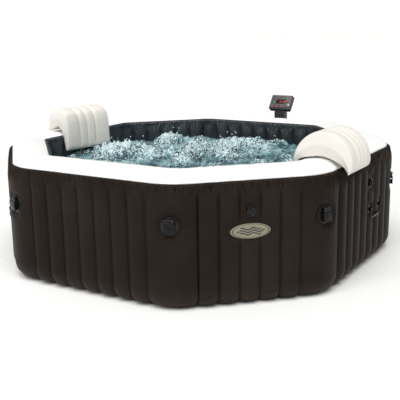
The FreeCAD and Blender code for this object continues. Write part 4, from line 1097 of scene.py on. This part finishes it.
class TUB_OT_water(bpy.types.Operator):
    """Bubbling water, foam and spray"""
    bl_idname = "tub.water"
    bl_label = "Water"

    def execute(self, context):
        sizes = context.scene.tub_water
        stations = []
        for k in range(8):
            stations += side_stations(k, 10, 20)[:-1]
        edge = np.array([s[0] - s[1] * (tub().wall - 0.006) for s in stations])[:, :2]
        rings = 120
        spread = np.linspace(1.0, 0.0, rings, endpoint=False)
        x = spread[:, None] * edge[None, :, 0]
        y = spread[:, None] * edge[None, :, 1]
        boil = np.zeros_like(x)
        sources = [(0.80, k) for k in (1, 3, 5, 7)] + [(0.50, 3), (0.62, 5), (0.80, 4), (0.30, 4)]
        for reach, k in sources:
            spot = side_matrix(k) @ Vector(((reach - 1.0) * apothem(k) - 0.16, 0, 0))
            distance = np.hypot(x - spot.x, y - spot.y)
            boil += np.exp(-(distance / 0.17) ** 2)
        chop = octave_noise(x, y, 4, octaves=5, scale=3.0, gain=0.62)
        fine = octave_noise(x, y, 8, octaves=3, scale=26.0, gain=0.6)
        lumps = np.abs(octave_noise(x, y, 15, octaves=3, scale=9.0, gain=0.6))
        height = sizes.chop * chop * 0.6 + sizes.boil * np.clip(boil, 0, 1.3) * (0.45 + 0.7 * lumps)
        height += fine * 0.005 * (0.12 + np.clip(boil, 0, 1))
        calm = np.clip((1.0 - spread[:, None]) / 0.04, 0, 1)
        height = height * (0.5 + 0.5 * calm)
        foam = np.clip(0.16 + 0.62 * np.clip(boil, 0, 1.2) + 0.26 * chop + 0.2 * fine, 0, 1.5)
        points = np.stack([x, y, sizes.level + height], axis=2)
        surface = grid_mesh("water", points, wrap_columns=True, attributes={"foam": foam})
        bm = bmesh.new()
        bm.from_mesh(surface)
        last = [v for v in bm.verts if v.index >= (rings - 1) * len(edge)]
        centre = bm.verts.new((0, 0, sizes.level))
        for a, b in zip(last, last[1:] + last[:1]):
            bm.faces.new((a, b, centre))
        bm.to_mesh(surface)
        bm.free()
        surface.shade_smooth()
        water = churned_water(context.scene.tub_colours)
        tree = scatter_tree()
        drops = spray()
        flying = grown("spray", surface.copy(), tree, drops, Density=float(sizes.droplets), Size=0.0042,
                       Lift=0.055, Start=0.55, Seed=3)
        foam_mesh = grown("foam", surface.copy(), tree, drops, Density=2200.0, Size=0.0034, Lift=0.004,
                          Start=0.55, Seed=8)
        piece = link("water", surface, water, "root")
        thicken(piece, 0.02, -1.0)
        link("water_spray", flying, drops, "root")
        link("water_foam", foam_mesh, drops, "root")
        return {"FINISHED"}


# ---------------------------------------------------------------- fittings

class TUB_OT_webs(bpy.types.Operator):
    """Fibre webs inside the wall that make its beams"""
    bl_idname = "tub.webs"
    bl_label = "Tension webs"

    def execute(self, context):
        size = tub()
        columns, rows = 9, 21
        x = np.linspace(-size.wall + 0.009, -0.009, columns)
        z = np.linspace(0.112, 0.528, rows)
        sheet = np.zeros((rows, columns, 3))
        sheet[:, :, 0] = x[None]
        sheet[:, :, 2] = z[:, None]
        unit = grid_mesh("web_unit", sheet)
        bm = bmesh.new()
        bm.from_mesh(unit)
        vents = [f for f in bm.faces if abs(f.calc_center_median().x + size.wall / 2) < 0.04
                 and int((f.calc_center_median().z - 0.112) / 0.0208) % 5 in (2, 3)]
        bmesh.ops.delete(bm, geom=vents, context="FACES")
        bmesh.ops.solidify(bm, geom=bm.faces, thickness=0.0015)
        unit = mesh_of(bm, "web_unit")
        places = []
        for k in range(8):
            beams = size.long_beams if k % 2 else size.short_beams
            places += [side_matrix(k, 0, (i - beams / 2) * size.beam_pitch) for i in range(beams + 1)]
        fibre = laminated_vinyl("web fibre", "#b9b6ae", "#c9c6bf", 0.7, grain=2.0)
        piece = link("webs", repeated("webs", unit, places, fibre), fibre, "root")
        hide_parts("tension_webs")
        return {"FINISHED"}


class TUB_OT_floor(bpy.types.Operator):
    """Padded floor sheet with welded cells"""
    bl_idname = "tub.floor"
    bl_label = "Floor sheet"

    def execute(self, context):
        stations = []
        for k in range(8):
            stations += side_stations(k, 4, 8)[:-1]
        edge = np.array([s[0] - s[1] * tub().foot for s in stations])[:, :2]
        spread = np.linspace(1.0, 0.004, 90)
        x = spread[:, None] * edge[None, :, 0]
        y = spread[:, None] * edge[None, :, 1]
        cells = np.abs(np.sin(x * math.pi / 0.09) * np.sin(y * math.pi / 0.09)) ** 0.5
        lift = 0.0022 * cells * np.clip((1 - spread[:, None]) / 0.05, 0, 1)
        top = np.stack([x, y, 0.0008 + lift], axis=2)
        bottom = np.stack([x, y, np.full_like(x, 0.0)], axis=2)
        points = np.vstack([top[::-1], bottom])
        mesh = grid_mesh("floor_cells", points, wrap_columns=True)
        bm = bmesh.new()
        bm.from_mesh(mesh)
        columns = len(edge)
        for row in (0, len(points) - 1):
            ring = [v for v in bm.verts if row * columns <= v.index < (row + 1) * columns]
            bm.faces.new(ring)
        vinyl = bpy.data.materials["inner vinyl"]
        piece = link("floor_cells", mesh_of(bm, "floor_cells"), vinyl, "root")
        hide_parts("floor_sheet")
        return {"FINISHED"}


class TUB_OT_badge(bpy.types.Operator):
    """Oval badge with a raised border and generic waves"""
    bl_idname = "tub.badge"
    bl_label = "Badge"

    def execute(self, context):
        fit = context.scene.tub_fittings
        a, b = fit.badge_width / 2, fit.badge_height / 2
        radii = np.concatenate([np.linspace(0.02, 0.80, 56), np.linspace(0.82, 1.0, 20)])
        angles = np.linspace(0, math.tau, 220, endpoint=False)
        y = a * radii[:, None] * np.cos(angles)[None]
        z = b * radii[:, None] * np.sin(angles)[None]
        r = np.broadcast_to(radii[:, None], y.shape)
        border = np.clip(1 - np.abs(r - 0.90) / 0.035, 0, 1)
        wave = np.zeros_like(y)
        for level, reach in ((0.33, 0.52), (0.0, 0.68), (-0.33, 0.52)):
            line = b * level + 0.0046 * np.sin(y / a * 11.0)
            wave = np.maximum(wave, np.clip(1.8 - np.abs(z - line) / 0.0026, 0, 1) * (np.abs(y) < a * reach))
        ink = np.clip(np.maximum(border * 1.6, wave), 0, 1)
        dome = 0.0050 - 0.0026 * r ** 2 + 0.0004 * np.sin(y / 0.1015 * math.tau + math.pi / 2)
        edge = np.clip((1.0 - r) / 0.02, 0, 1) ** 0.5
        front = dome * edge + 0.0010 * np.clip(border * 1.5, 0, 1) + 0.0007 * wave
        back = np.full_like(front, -0.0004)
        outline = np.vstack([front, back[::-1]])
        points = np.stack([outline, np.vstack([y, y[::-1]]), np.vstack([z, z[::-1]])], axis=2)
        mesh = grid_mesh("badge", points, wrap_columns=True,
                         attributes={"ink": np.vstack([ink, np.zeros_like(ink)])})
        bm = bmesh.new()
        bm.from_mesh(mesh)
        columns = len(angles)
        for row in (0, len(points) - 1):
            bm.faces.new([v for v in bm.verts if row * columns <= v.index < (row + 1) * columns])
        mesh = mesh_of(bm, "badge", side_matrix(0, 0, 0, fit.badge_up), smooth=False)
        mesh.shade_smooth()
        piece = link("badge", mesh, badge_plate(context.scene.tub_colours.badge), "root")
        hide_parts("oval_badge")
        return {"FINISHED"}


class TUB_OT_valves(bpy.types.Operator):
    """Inflation valve caps with knurled edges, and their welded flanges"""
    bl_idname = "tub.valves"
    bl_label = "Valves"

    def execute(self, context):
        fit = context.scene.tub_fittings
        black = black_polypropylene()
        knurl = bmesh.new()
        block(knurl, (0.0070, -0.0011, 0.0218), (0.0128, 0.0011, 0.0236), bevel=0.0005, segments=2)
        knurl = mesh_of(knurl, "knurl")
        rings = []
        for n, (k, right) in enumerate(((0, 0.0), (1, fit.valve_right))):
            here = side_matrix(k, 0, right, fit.valve_up)
            bm = bmesh.new()
            lathe(bm, [(0.0063, 0), (0.0063, 0.0215), (0.0068, 0.0223), (0.0128, 0.0223), (0.0140, 0.0208),
                       (0.0143, 0.0190), (0.0136, 0.0176), (0.0128, 0.0168), (0.0128, 0.0060),
                       (0.0134, 0.0050), (0.0134, 0)], 56)
            block(bm, (0.0120, -0.0034, -0.0168), (0.0198, 0.0034, 0.0168), bevel=0.0022, segments=4)
            block(bm, (0.0120, -0.0168, -0.0016), (0.0150, 0.0168, 0.0016), bevel=0.0012, segments=3)
            cap = link(f"valve_cap_{n + 1}_face", mesh_of(bm, "cap", here), black, f"valve_cap_{n + 1}")
            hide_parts(f"valve_cap_{n + 1}")
            turns = [here @ Matrix.Rotation(math.tau * i / 28, 4, "X") for i in range(28)]
            link(f"valve_cap_{n + 1}_knurl", repeated("knurls", knurl, turns, black), black,
                 f"valve_cap_{n + 1}")
            rings.append(here)
        bm = bmesh.new()
        lathe(bm, [(-0.001, 0.0232), (0.0040, 0.0232), (0.0046, 0.0238), (0.0046, 0.0250), (0.0038, 0.0258),
                   (0.0022, 0.0264), (0.0014, 0.0300), (0.0004, 0.0330), (-0.001, 0.0330),
                   (-0.001, 0.0232)], 64)
        film = bpy.data.materials["outer vinyl"]
        flange = repeated("valve_flanges", mesh_of(bm, "flange"), rings, film)
        link("valve_flanges", flange, film, "root")
        return {"FINISHED"}


def webbing_loop(bm, bar_out, low, width, thickness):
    """Adds a flat strap that runs up in front of a bar, round it, and down behind it."""
    path = [(bar_out + 0.0016, low)]
    path += [(bar_out + 0.0052 * math.cos(t), 0.0052 * math.sin(t))
             for t in np.radians(np.linspace(-40, 220, 20))]
    path.append((bar_out - 0.0016, low))
    path = smooth_line(path, 48)
    ahead = np.gradient(path, axis=0)
    ahead /= np.linalg.norm(ahead, axis=1)[:, None]
    normal = np.column_stack([ahead[:, 1], -ahead[:, 0]]) * thickness / 2
    outline = np.vstack([path + normal, (path - normal)[::-1]])
    sides = []
    for y in (-width / 2, width / 2):
        sides.append([bm.verts.new((px, y, pz)) for px, pz in outline])
    count = len(outline)
    for i in range(count):
        j = (i + 1) % count
        bm.faces.new((sides[0][i], sides[0][j], sides[1][j], sides[1][i]))
    half = count // 2
    for side in sides:
        for i in range(half - 1):
            bm.faces.new((side[i], side[i + 1], side[count - 2 - i], side[count - 1 - i]))


def welded_patch(radius, curve, thickness=0.003):
    """A round patch bent to a cylinder of radius curve, with a weld line and a thin hem."""
    radii = np.linspace(0.02, 1.0, 40) * radius
    angles = np.linspace(0, math.tau, 96, endpoint=False)
    y = radii[:, None] * np.cos(angles)[None]
    z = radii[:, None] * np.sin(angles)[None]
    r = np.broadcast_to(radii[:, None] / radius, y.shape)
    wall = np.sqrt(curve ** 2 - y ** 2) - curve
    weld = np.exp(-((r - 0.86) / 0.025) ** 2) + 0.8 * np.exp(-((r - 0.80) / 0.02) ** 2)
    rise = thickness * np.clip((1 - r) / 0.05, 0.15, 1) - 0.0011 * weld
    front = wall + rise
    back = wall - 0.0008
    points = np.stack([np.vstack([front, back[::-1]]), np.vstack([y, y[::-1]]),
                       np.vstack([z, z[::-1]])], axis=2)
    mesh = grid_mesh("patch", points, wrap_columns=True)
    bm = bmesh.new()
    bm.from_mesh(mesh)
    columns = len(angles)
    for row in (0, len(points) - 1):
        bm.faces.new([v for v in bm.verts if row * columns <= v.index < (row + 1) * columns])
    return bm


class TUB_OT_buckles(bpy.types.Operator):
    """Cover buckles: welded patches, pivot bars, straps and side-release sockets"""
    bl_idname = "tub.buckles"
    bl_label = "Cover buckles"

    def execute(self, context):
        fit = context.scene.tub_fittings
        out = fit.bar_out
        black = moulded_plastic("black acetal", "#060606", "#0e0e0f", 0.2, strength=0.1, sheen=0.22)
        film = laminated_vinyl("patch vinyl", "#0f0d0b", "#171411", 0.34, sheen=0.3)
        weave = nylon_webbing()
        corners = [corner_matrix(k, 0, 0, fit.buckle_up) for k in range(8)]
        patch = mesh_of(welded_patch(0.046, tub().corner_radius), "patch", smooth=False)
        patch.shade_smooth()
        lowered = [c @ Matrix.Translation((0, 0, -fit.patch_drop)) for c in corners]
        piece = link("buckle_patches", repeated("patches", patch, lowered, film), film, "root")
        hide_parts("buckle_anchors")
        bm = bmesh.new()
        for y in (-0.025, 0.020):
            block(bm, (0.0015, y, -0.007), (out + 0.005, y + 0.005, 0.007), bevel=0.0014, segments=3)
        block(bm, (0.0022, -0.030, -0.013), (0.0052, 0.030, 0.013), bevel=0.0013, segments=3)
        sweep(bm, [(out, y, 0) for y in np.linspace(-0.0245, 0.0245, 8)], [0.0034] * 8, 20)
        link("buckle_bars", repeated("bars", mesh_of(bm, "bar"), corners, black), black, "root")
        for k in range(8):
            bm = bmesh.new()
            front, back = out + 0.009, out - 0.009
            block(bm, (front - 0.0045, -0.026, -0.060), (front, 0.026, -0.014), bevel=0.0021, segments=4)
            block(bm, (back, -0.026, -0.060), (back + 0.0045, 0.026, -0.014), bevel=0.0021, segments=4)
            block(bm, (back + 0.003, -0.0235, -0.027), (front - 0.003, 0.0235, -0.0148), bevel=0.001)
            for y in (-0.0252, 0.0202):
                block(bm, (back + 0.003, y, -0.0596), (front - 0.003, y + 0.005, -0.043), bevel=0.001)
            for z in (-0.028, -0.032, -0.036, -0.040):
                block(bm, (front - 0.001, -0.015, z - 0.0010), (front + 0.0010, 0.015, z + 0.0010),
                      bevel=0.0006, segments=2)
            prism(bm, rounded_rectangle(0.030, 0.010, 0.004), front - 0.001, front + 0.0012, 0.0007)
            shell = link(f"buckle_{k + 1}_socket", mesh_of(bm, "socket", corners[k]), black,
                         f"cover_buckle_{k + 1}")
            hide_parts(f"cover_buckle_{k + 1}")
            bm = bmesh.new()
            webbing_loop(bm, out, -0.018, 0.038, 0.0018)
            link(f"buckle_{k + 1}_strap", mesh_of(bm, "strap", corners[k]), weave, f"cover_buckle_{k + 1}")
            bm = bmesh.new()
            block(bm, (-0.0003, -0.0011, -0.00035), (0.0004, 0.0011, 0.00035), bevel=0.0002, segments=1)
            spots = [corners[k] @ Matrix.Translation((out + 0.0030, y, z)) for z in (-0.0075, -0.0105)
                     for y in np.linspace(-0.016, 0.016, 11)]
            thread = moulded_plastic("bonded thread", "#2b2a2a", "#3a3938", 0.6)
            rows = repeated("stitches", mesh_of(bm, "stitch"), spots, thread)
            link(f"buckle_{k + 1}_stitches", rows, thread, f"cover_buckle_{k + 1}")
        return {"FINISHED"}


class TUB_OT_handles(bpy.types.Operator):
    """Carrying handles with finger grips, on forked mounts"""
    bl_idname = "tub.handles"
    bl_label = "Carrying handles"

    def execute(self, context):
        fit = context.scene.tub_fittings
        out, half, drop = fit.handle_out, fit.handle_width / 2, fit.handle_drop
        glossy = black_polypropylene()
        film = laminated_vinyl("patch vinyl", "#0f0d0b", "#171411", 0.34, sheen=0.3)
        mounts = [side_matrix(k, 0, y + side, fit.handle_up) for k, y in HANDLES for side in (-half, half)]
        pad = mesh_of(welded_patch(0.0240, 5.0, 0.004), "pad", smooth=False)
        pad.shade_smooth()
        piece = link("handle_pads", repeated("pads", pad, mounts, film), film, "root")
        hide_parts("handle_mounts")
        bm = bmesh.new()
        for y in (-0.009, 0.0046):
            block(bm, (0.002, y, -0.009), (out + 0.007, y + 0.0044, 0.009), bevel=0.0018, segments=3)
        block(bm, (0.0020, -0.013, -0.012), (0.0056, 0.013, 0.012), bevel=0.0016, segments=3)
        sweep(bm, [(out, y, 0) for y in np.linspace(-0.0098, 0.0098, 6)], [0.0029] * 6, 18)
        link("handle_forks", repeated("forks", mesh_of(bm, "fork"), mounts, glossy), glossy, "root")
        for n, (k, y0) in enumerate(HANDLES):
            path = [(out, -half, 0.002), (out, -half, -0.020), (out, -half, drop * -0.62),
                    (out, -half + 0.006, drop * -0.90), (out, -half + 0.020, -drop), (out, 0, -drop),
                    (out, half - 0.020, -drop), (out, half - 0.006, drop * -0.90),
                    (out, half, drop * -0.62), (out, half, -0.020), (out, half, 0.002)]
            line = smooth_line(path, 160)
            radii = []
            for p in line:
                grip = float(np.clip((half - 0.018 - abs(p[1])) / 0.012, 0, 1) * (p[2] < -drop * 0.8))
                fingers = 0.0007 * math.cos(p[1] / 0.021 * math.tau)
                radii.append(0.0042 + grip * (0.0036 + fingers))
            bm = bmesh.new()
            sweep(bm, line, radii, 20)
            for y in (-half, half):
                lathe(bm, [(-0.0041, 0), (-0.0041, 0.0056), (-0.0034, 0.0065), (0.0034, 0.0065),
                           (0.0041, 0.0056), (0.0041, 0)], 32,
                      Matrix.Translation((out, y, 0)) @ Matrix.Rotation(math.radians(90), 4, "Z"))
            here = side_matrix(k, 0, y0, fit.handle_up)
            bail = link(f"carry_handle_{n + 1}_bail", mesh_of(bm, "bail", here), glossy,
                        f"carry_handle_{n + 1}")
            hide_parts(f"carry_handle_{n + 1}")
        return {"FINISHED"}


SEGMENTS = {"0": "abcdef", "1": "bc", "3": "abgcd", "8": "abcdefg", "C": "adef"}
SEGMENT_PLACES = {"a": (0, 1, 0), "g": (0, 0, 0), "d": (0, -1, 0), "f": (-1, 0.5, 1), "b": (1, 0.5, 1),
                  "e": (-1, -0.5, 1), "c": (1, -0.5, 1)}
BUTTON_PLACES = {"power": (-0.050, -0.004, "green"), "jets": (0.042, 0.034, "green"),
                 "bubbles": (0.065, 0.030, "red"), "heater": (0.046, 0.006, "red"),
                 "units": (0.064, -0.020, "white"), "up": (-0.026, -0.036, "red"),
                 "down": (0.008, -0.036, "red"), "filter": (-0.060, -0.036, "red")}


def panel_matrix(lean):
    """Takes X to the reader's right, Y up the face and Z out of it to their place on the control panel."""
    upward = Vector((math.sin(lean), 0, math.cos(lean)))
    face = Vector((-math.cos(lean), 0, math.sin(lean)))
    axes = Matrix((Vector((0, -1, 0)), upward, face)).transposed().to_4x4()
    low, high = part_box("panel_front_shell")
    shell = (side_matrix(3).inverted() @ ((low + high) / 2).to_4d()).to_3d()
    centre = shell - face * -0.0075
    return side_matrix(3) @ Matrix.Translation(centre) @ axes


def flat_prism(bm, outline, low, high, bevel=0.0, segments=3):
    """Adds an outline of (x, y) points extruded along Z from low to high, with its top edge rounded."""
    bottom = [bm.verts.new((x, y, low)) for x, y in outline]
    face = bm.faces.new(bottom)
    raised = bmesh.ops.extrude_face_region(bm, geom=[face])["geom"]
    top = [v for v in raised if isinstance(v, bmesh.types.BMVert)]
    for v in top:
        v.co.z = high
    if bevel:
        crown = set(top)
        edges = [e for e in bm.edges if e.verts[0] in crown and e.verts[1] in crown]
        bmesh.ops.bevel(bm, geom=edges, offset=bevel, segments=segments, profile=0.5, affect="EDGES")


class TUB_OT_panel(bpy.types.Operator):
    """Control panel: face, overlay, display with generic digits, buttons and legends"""
    bl_idname = "tub.panel"
    bl_label = "Control panel"

    def execute(self, context):
        fit = context.scene.tub_fittings
        here = panel_matrix(fit.panel_lean)
        w, h = fit.panel_width, fit.panel_height
        navy = moulded_plastic("navy ABS", "#1e1e27", "#2b2b35", 0.42)
        grey = moulded_plastic("printed overlay", context.scene.tub_colours.panel, "#575552", 0.42, grain=0.6,
                               strength=0.1)
        bm = bmesh.new()
        flat_prism(bm, rounded_rectangle(w, h, 0.010), -0.0150, 0.0, 0.003, 4)
        shell = link("panel_face", mesh_of(bm, "panel_face", here), navy, "control_panel")
        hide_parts("panel_front_shell")
        bm = bmesh.new()
        flat_prism(bm, [(x, y + 0.007) for x, y in rounded_rectangle(w - 0.010, h - 0.022, 0.007)],
                   -0.0005, 0.0006, 0.0004, 2)
        link("panel_overlay", mesh_of(bm, "overlay", here), grey, "control_panel")
        bm = bmesh.new()
        for dx, dy, sx, sy in ((0, 0.0155, 0.070, 0.0025), (0, -0.0155, 0.070, 0.0025),
                               (0.0345, 0, 0.0025, 0.033), (-0.0345, 0, 0.0025, 0.033)):
            block(bm, (dx - sx / 2, 0.004 + dy - sy / 2, 0.0), (dx + sx / 2, 0.004 + dy + sy / 2, 0.0022),
                  bevel=0.0008, segments=3)
        link("panel_bezel", mesh_of(bm, "bezel", here), navy, "control_panel")
        glass = moulded_plastic("smoked acrylic", "#0a0606", "#120808", 0.08, strength=0.02)
        bm = bmesh.new()
        block(bm, (-0.0335, -0.0105, -0.0010), (0.0335, 0.0185, 0.0009), bevel=0.0004, segments=2)
        window = link("display_window", mesh_of(bm, "window", here), glass, "control_panel")
        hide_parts("display_module")
        bm = bmesh.new()
        bar = 0.0048
        for place, digit in ((-0.0165, "1"), (-0.003, "0"), (0.0105, "3")):
            for name in SEGMENTS[digit]:
                sx, sy, upright = SEGMENT_PLACES[name]
                cx, cy = place + sx * bar * 0.62, 0.004 + sy * bar * 1.45
                a, b = (0.0007, bar * 0.62) if upright else (bar * 0.52, 0.0007)
                block(bm, (cx - a, cy - b, 0.0007), (cx + a, cy + b, 0.0012), bevel=0.0003, segments=1)
        link("display_digits", mesh_of(bm, "digits", here), display_glow(), "control_panel")
        caps = {"green": moulded_plastic("green silicone", "#1c9a63", "#3ac07f", 0.35),
                "red": moulded_plastic("red silicone", "#b8322d", "#d4564c", 0.35),
                "white": moulded_plastic("white silicone", "#e4e4e2", "#f2f2f0", 0.35)}
        rings = bmesh.new()
        marks = bmesh.new()
        for name, (x, y, colour) in BUTTON_PLACES.items():
            bm = bmesh.new()
            lathe(bm, [(-0.0060, 0), (-0.0060, 0.0063), (0.0012, 0.0063), (0.0022, 0.0055), (0.0026, 0.0035),
                       (0.0027, 0)], 40, Matrix.Rotation(math.radians(-90), 4, "Y"))
            cap = link(f"button_{name}_cap", mesh_of(bm, "cap", here @ Matrix.Translation((x, y, 0))),
                       caps[colour], f"button_{name}")
            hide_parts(f"button_{name}")
            lathe(rings, [(0.0003, 0.0067), (0.0014, 0.0070), (0.0016, 0.0078), (0.0012, 0.0086),
                          (0.0003, 0.0088), (0.0003, 0.0067)], 40,
                  Matrix.Translation((x, y, 0)) @ Matrix.Rotation(math.radians(-90), 4, "Y"))
            for i in range(3):
                block(marks, (x - 0.0045 + i * 0.0033, y + 0.0108, 0.0004),
                      (x - 0.0023 + i * 0.0033, y + 0.0118, 0.0008), bevel=0.0001, segments=1)
        link("button_rings", mesh_of(rings, "rings", here), navy, "control_panel")
        white = moulded_plastic("white print", "#cfcfcc", "#dcdcda", 0.5)
        link("panel_marks", mesh_of(marks, "marks", here), white, "control_panel")
        return {"FINISHED"}


class TUB_OT_base(bpy.types.Operator):
    """Louvres, ribs and bolts of the pump base"""
    bl_idname = "tub.base"
    bl_label = "Pump base"

    def execute(self, context):
        housing = moulded_plastic("housing polypropylene", "#33353a", "#43464b", 0.5, grain=1.4, strength=0.5)
        here = side_matrix(3)
        louvre = bmesh.new()
        block(louvre, (-0.001, -0.116, -0.003), (0.005, 0.116, 0.005), bevel=0.0022, segments=3)
        rib = bmesh.new()
        block(rib, (-0.115, -0.0012, -0.003), (0.115, 0.0022, 0.003), bevel=0.001, segments=2)
        bolt = bmesh.new()
        lathe(bolt, [(0.0, 0.0), (0.0, 0.0052), (0.0016, 0.0052), (0.0026, 0.0036), (0.0028, 0.0)], 24)
        back = 0.378
        louvres = [here @ Matrix.Translation((back, 0, 0.120 + 0.026 * i + 0.0145)) for i in range(10)]
        ribs = []
        for i in range(7):
            for side in (-1, 1):
                ribs.append(here @ Matrix.Translation((0.213, 0.225 * side, 0.100 + 0.055 * i))
                            @ Matrix.Rotation(0 if side > 0 else math.pi, 4, "Z"))
        bolts = [here @ Matrix.Translation((back, y, z)) for y in (-0.165, 0.165) for z in (0.070, 0.500)]
        for name, unit, places in (("base_louvres", louvre, louvres), ("base_ribs", rib, ribs),
                                   ("base_bolts", bolt, bolts)):
            copies = repeated(name, mesh_of(unit, name), places, housing)
            link(name, copies, housing, "root")
        return {"FINISHED"}


class TUB_OT_finishes(bpy.types.Operator):
    """Finishes of the CAD parts that stay in view"""
    bl_idname = "tub.finishes"
    bl_label = "Finishes"

    def execute(self, context):
        vinyl = bpy.data.materials["inner vinyl"]
        black = bpy.data.materials["glossy black polypropylene"]
        navy = bpy.data.materials["navy ABS"]
        grey = moulded_plastic("grey ABS", "#4a4c4f", "#5c5e61", 0.45)
        housing = bpy.data.materials["housing polypropylene"]
        white = moulded_plastic("white ABS", "#d5d7d8", "#e6e7e8", 0.35)
        hose = moulded_plastic("clear hose", "#8f9a9c", "#aeb8b9", 0.25)
        board = moulded_plastic("circuit board", "#12472f", "#1d6241", 0.4)
        steel = metal("zinc plated steel", "#a9abac", 0.32)
        element = metal("stainless heater tube", "#9a9a98", 0.26)
        dark = metal("blackened steel", "#3c3d40", 0.4)
        filter_felt = moulded_plastic("pleated filter paper", "#b9c4cc", "#d2dadf", 0.8, grain=2.0,
                                      strength=0.6)
        finishes = {
            "valve_bodies": black, "drain_cap": black, "wall_ports": grey, "union_nuts": grey,
            "jet_hoses": hose, "jet_housings": white, "bubble_channel": vinyl, "filter_housing": grey,
            "filter_cartridge": filter_felt, "base_tray": housing, "base_front_shell": housing,
            "base_rear_shell": housing, "base_deck": housing, "deck_screws": steel, "pump_casing": grey,
            "pump_rotor": dark, "blower_scroll": grey, "blower_fan": white, "heater_unit": element,
            "base_pipes": white, "power_box": board, "panel_back_shell": navy}
        finishes.update({f"jet_nozzle_{n}": white for n in range(1, 5)})
        for node, material in finishes.items():
            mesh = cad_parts[node].data
            mesh.materials.clear()
            mesh.materials.append(material)
        return {"FINISHED"}


# ---------------------------------------------------------------- stage

class TUB_OT_stage(bpy.types.Operator):
    """Pale floor, soft lights and the camera"""
    bl_idname = "tub.stage"
    bl_label = "Stage"

    def execute(self, context):
        reach = 70.0
        floor = bpy.data.meshes.new("floor")
        floor.from_pydata([(-reach, -reach, -0.001), (reach, -reach, -0.001), (reach, reach, -0.001),
                           (-reach, reach, -0.001)], [], [(0, 1, 2, 3)])
        ground = bpy.data.objects.new("floor", floor)
        context.collection.objects.link(ground)
        material, _, shader = new_material("studio floor")
        shader.inputs["Base Color"].default_value = linear("#f4f4f3")
        shader.inputs["Roughness"].default_value = 0.9
        floor.materials.append(material)
        world = bpy.data.worlds.new("studio")
        world.use_nodes = True
        sky = world.node_tree.nodes["Background"]
        sky.inputs[0].default_value = linear("#ffffff")
        way = add(world.node_tree, "ShaderNodeTexCoord").outputs["Generated"]
        height = add(world.node_tree, "ShaderNodeSeparateXYZ", {0: way}).outputs["Z"]
        sweep_light = add(world.node_tree, "ShaderNodeMapRange",
                          {0: height, 1: 0.045, 2: 0.09, 3: 1.1, 4: 0.38})
        world.node_tree.links.new(sweep_light.outputs[0], sky.inputs[1])
        context.scene.world = world
        sun = bpy.data.lights.new("overhead", "SUN")
        sun.energy = 2.7
        sun.angle = math.radians(50)
        key = bpy.data.lights.new("key", "AREA")
        key.shape = "RECTANGLE"
        key.size = 2.4
        key.size_y = 2.4
        key.energy = 45
        for name, lamp, place in (("overhead", sun, (-0.6, -1.7, 4.0)), ("key", key, (-4.4, -2.6, 2.6))):
            light = bpy.data.objects.new(name, lamp)
            light.location = place
            light.rotation_euler = (Vector((0, 0, 0.4)) - Vector(place)).to_track_quat("-Z", "Y").to_euler()
            context.collection.objects.link(light)
        camera = bpy.data.cameras.new("camera")
        camera.lens = 68.3
        camera.sensor_width = 36.0
        view = bpy.data.objects.new("camera", camera)
        heading, pitch, roll = math.radians(76.694), math.radians(-13.55), math.radians(0.97)
        ahead = Vector((math.cos(heading) * math.cos(pitch), math.sin(heading) * math.cos(pitch),
                        math.sin(pitch)))
        right = Vector((math.sin(heading), -math.cos(heading), 0))
        up = right.cross(ahead)
        tilted_up = up * math.cos(roll) + right * math.sin(roll)
        tilted_right = right * math.cos(roll) - up * math.sin(roll)
        turn = Matrix((tilted_right, tilted_up, -ahead)).transposed().to_4x4()
        view.matrix_world = Matrix.Translation((-1.0205, -4.3817, 1.3534)) @ turn
        context.collection.objects.link(view)
        context.scene.camera = view
        context.scene.view_settings.view_transform = "Standard"
        return {"FINISHED"}


OPERATORS = [TUB_OT_outer_wall, TUB_OT_inner_wall, TUB_OT_rim, TUB_OT_webs, TUB_OT_floor, TUB_OT_headrests,
             TUB_OT_water, TUB_OT_badge, TUB_OT_valves, TUB_OT_buckles, TUB_OT_handles, TUB_OT_panel,
             TUB_OT_base, TUB_OT_finishes, TUB_OT_stage]


class TUB_PT_sidebar(bpy.types.Panel):
    """Lists the pieces of the hot tub in the sidebar"""
    bl_label = "Hot Tub"
    bl_idname = "TUB_PT_sidebar"
    bl_space_type = "VIEW_3D"
    bl_region_type = "UI"
    bl_category = "Hot Tub"

    def draw(self, context):
        for operator in OPERATORS:
            self.layout.operator(operator.bl_idname)


GROUPS = {"tub_sizes": TubSizes, "tub_water": WaterSizes, "tub_pads": PadSizes,
          "tub_fittings": FittingSizes, "tub_colours": Colours}
CLASSES = list(GROUPS.values()) + OPERATORS + [TUB_PT_sidebar]


def register():
    for item in CLASSES:
        bpy.utils.register_class(item)
    for name, group in GROUPS.items():
        setattr(bpy.types.Scene, name, PointerProperty(type=group))


def unregister():
    for name in GROUPS:
        delattr(bpy.types.Scene, name)
    for item in reversed(CLASSES):
        bpy.utils.unregister_class(item)


def main():
    register()
    for operator in OPERATORS:
        getattr(bpy.ops.tub, operator.bl_idname.split(".")[1])()


if __name__ == "__main__":
    main()
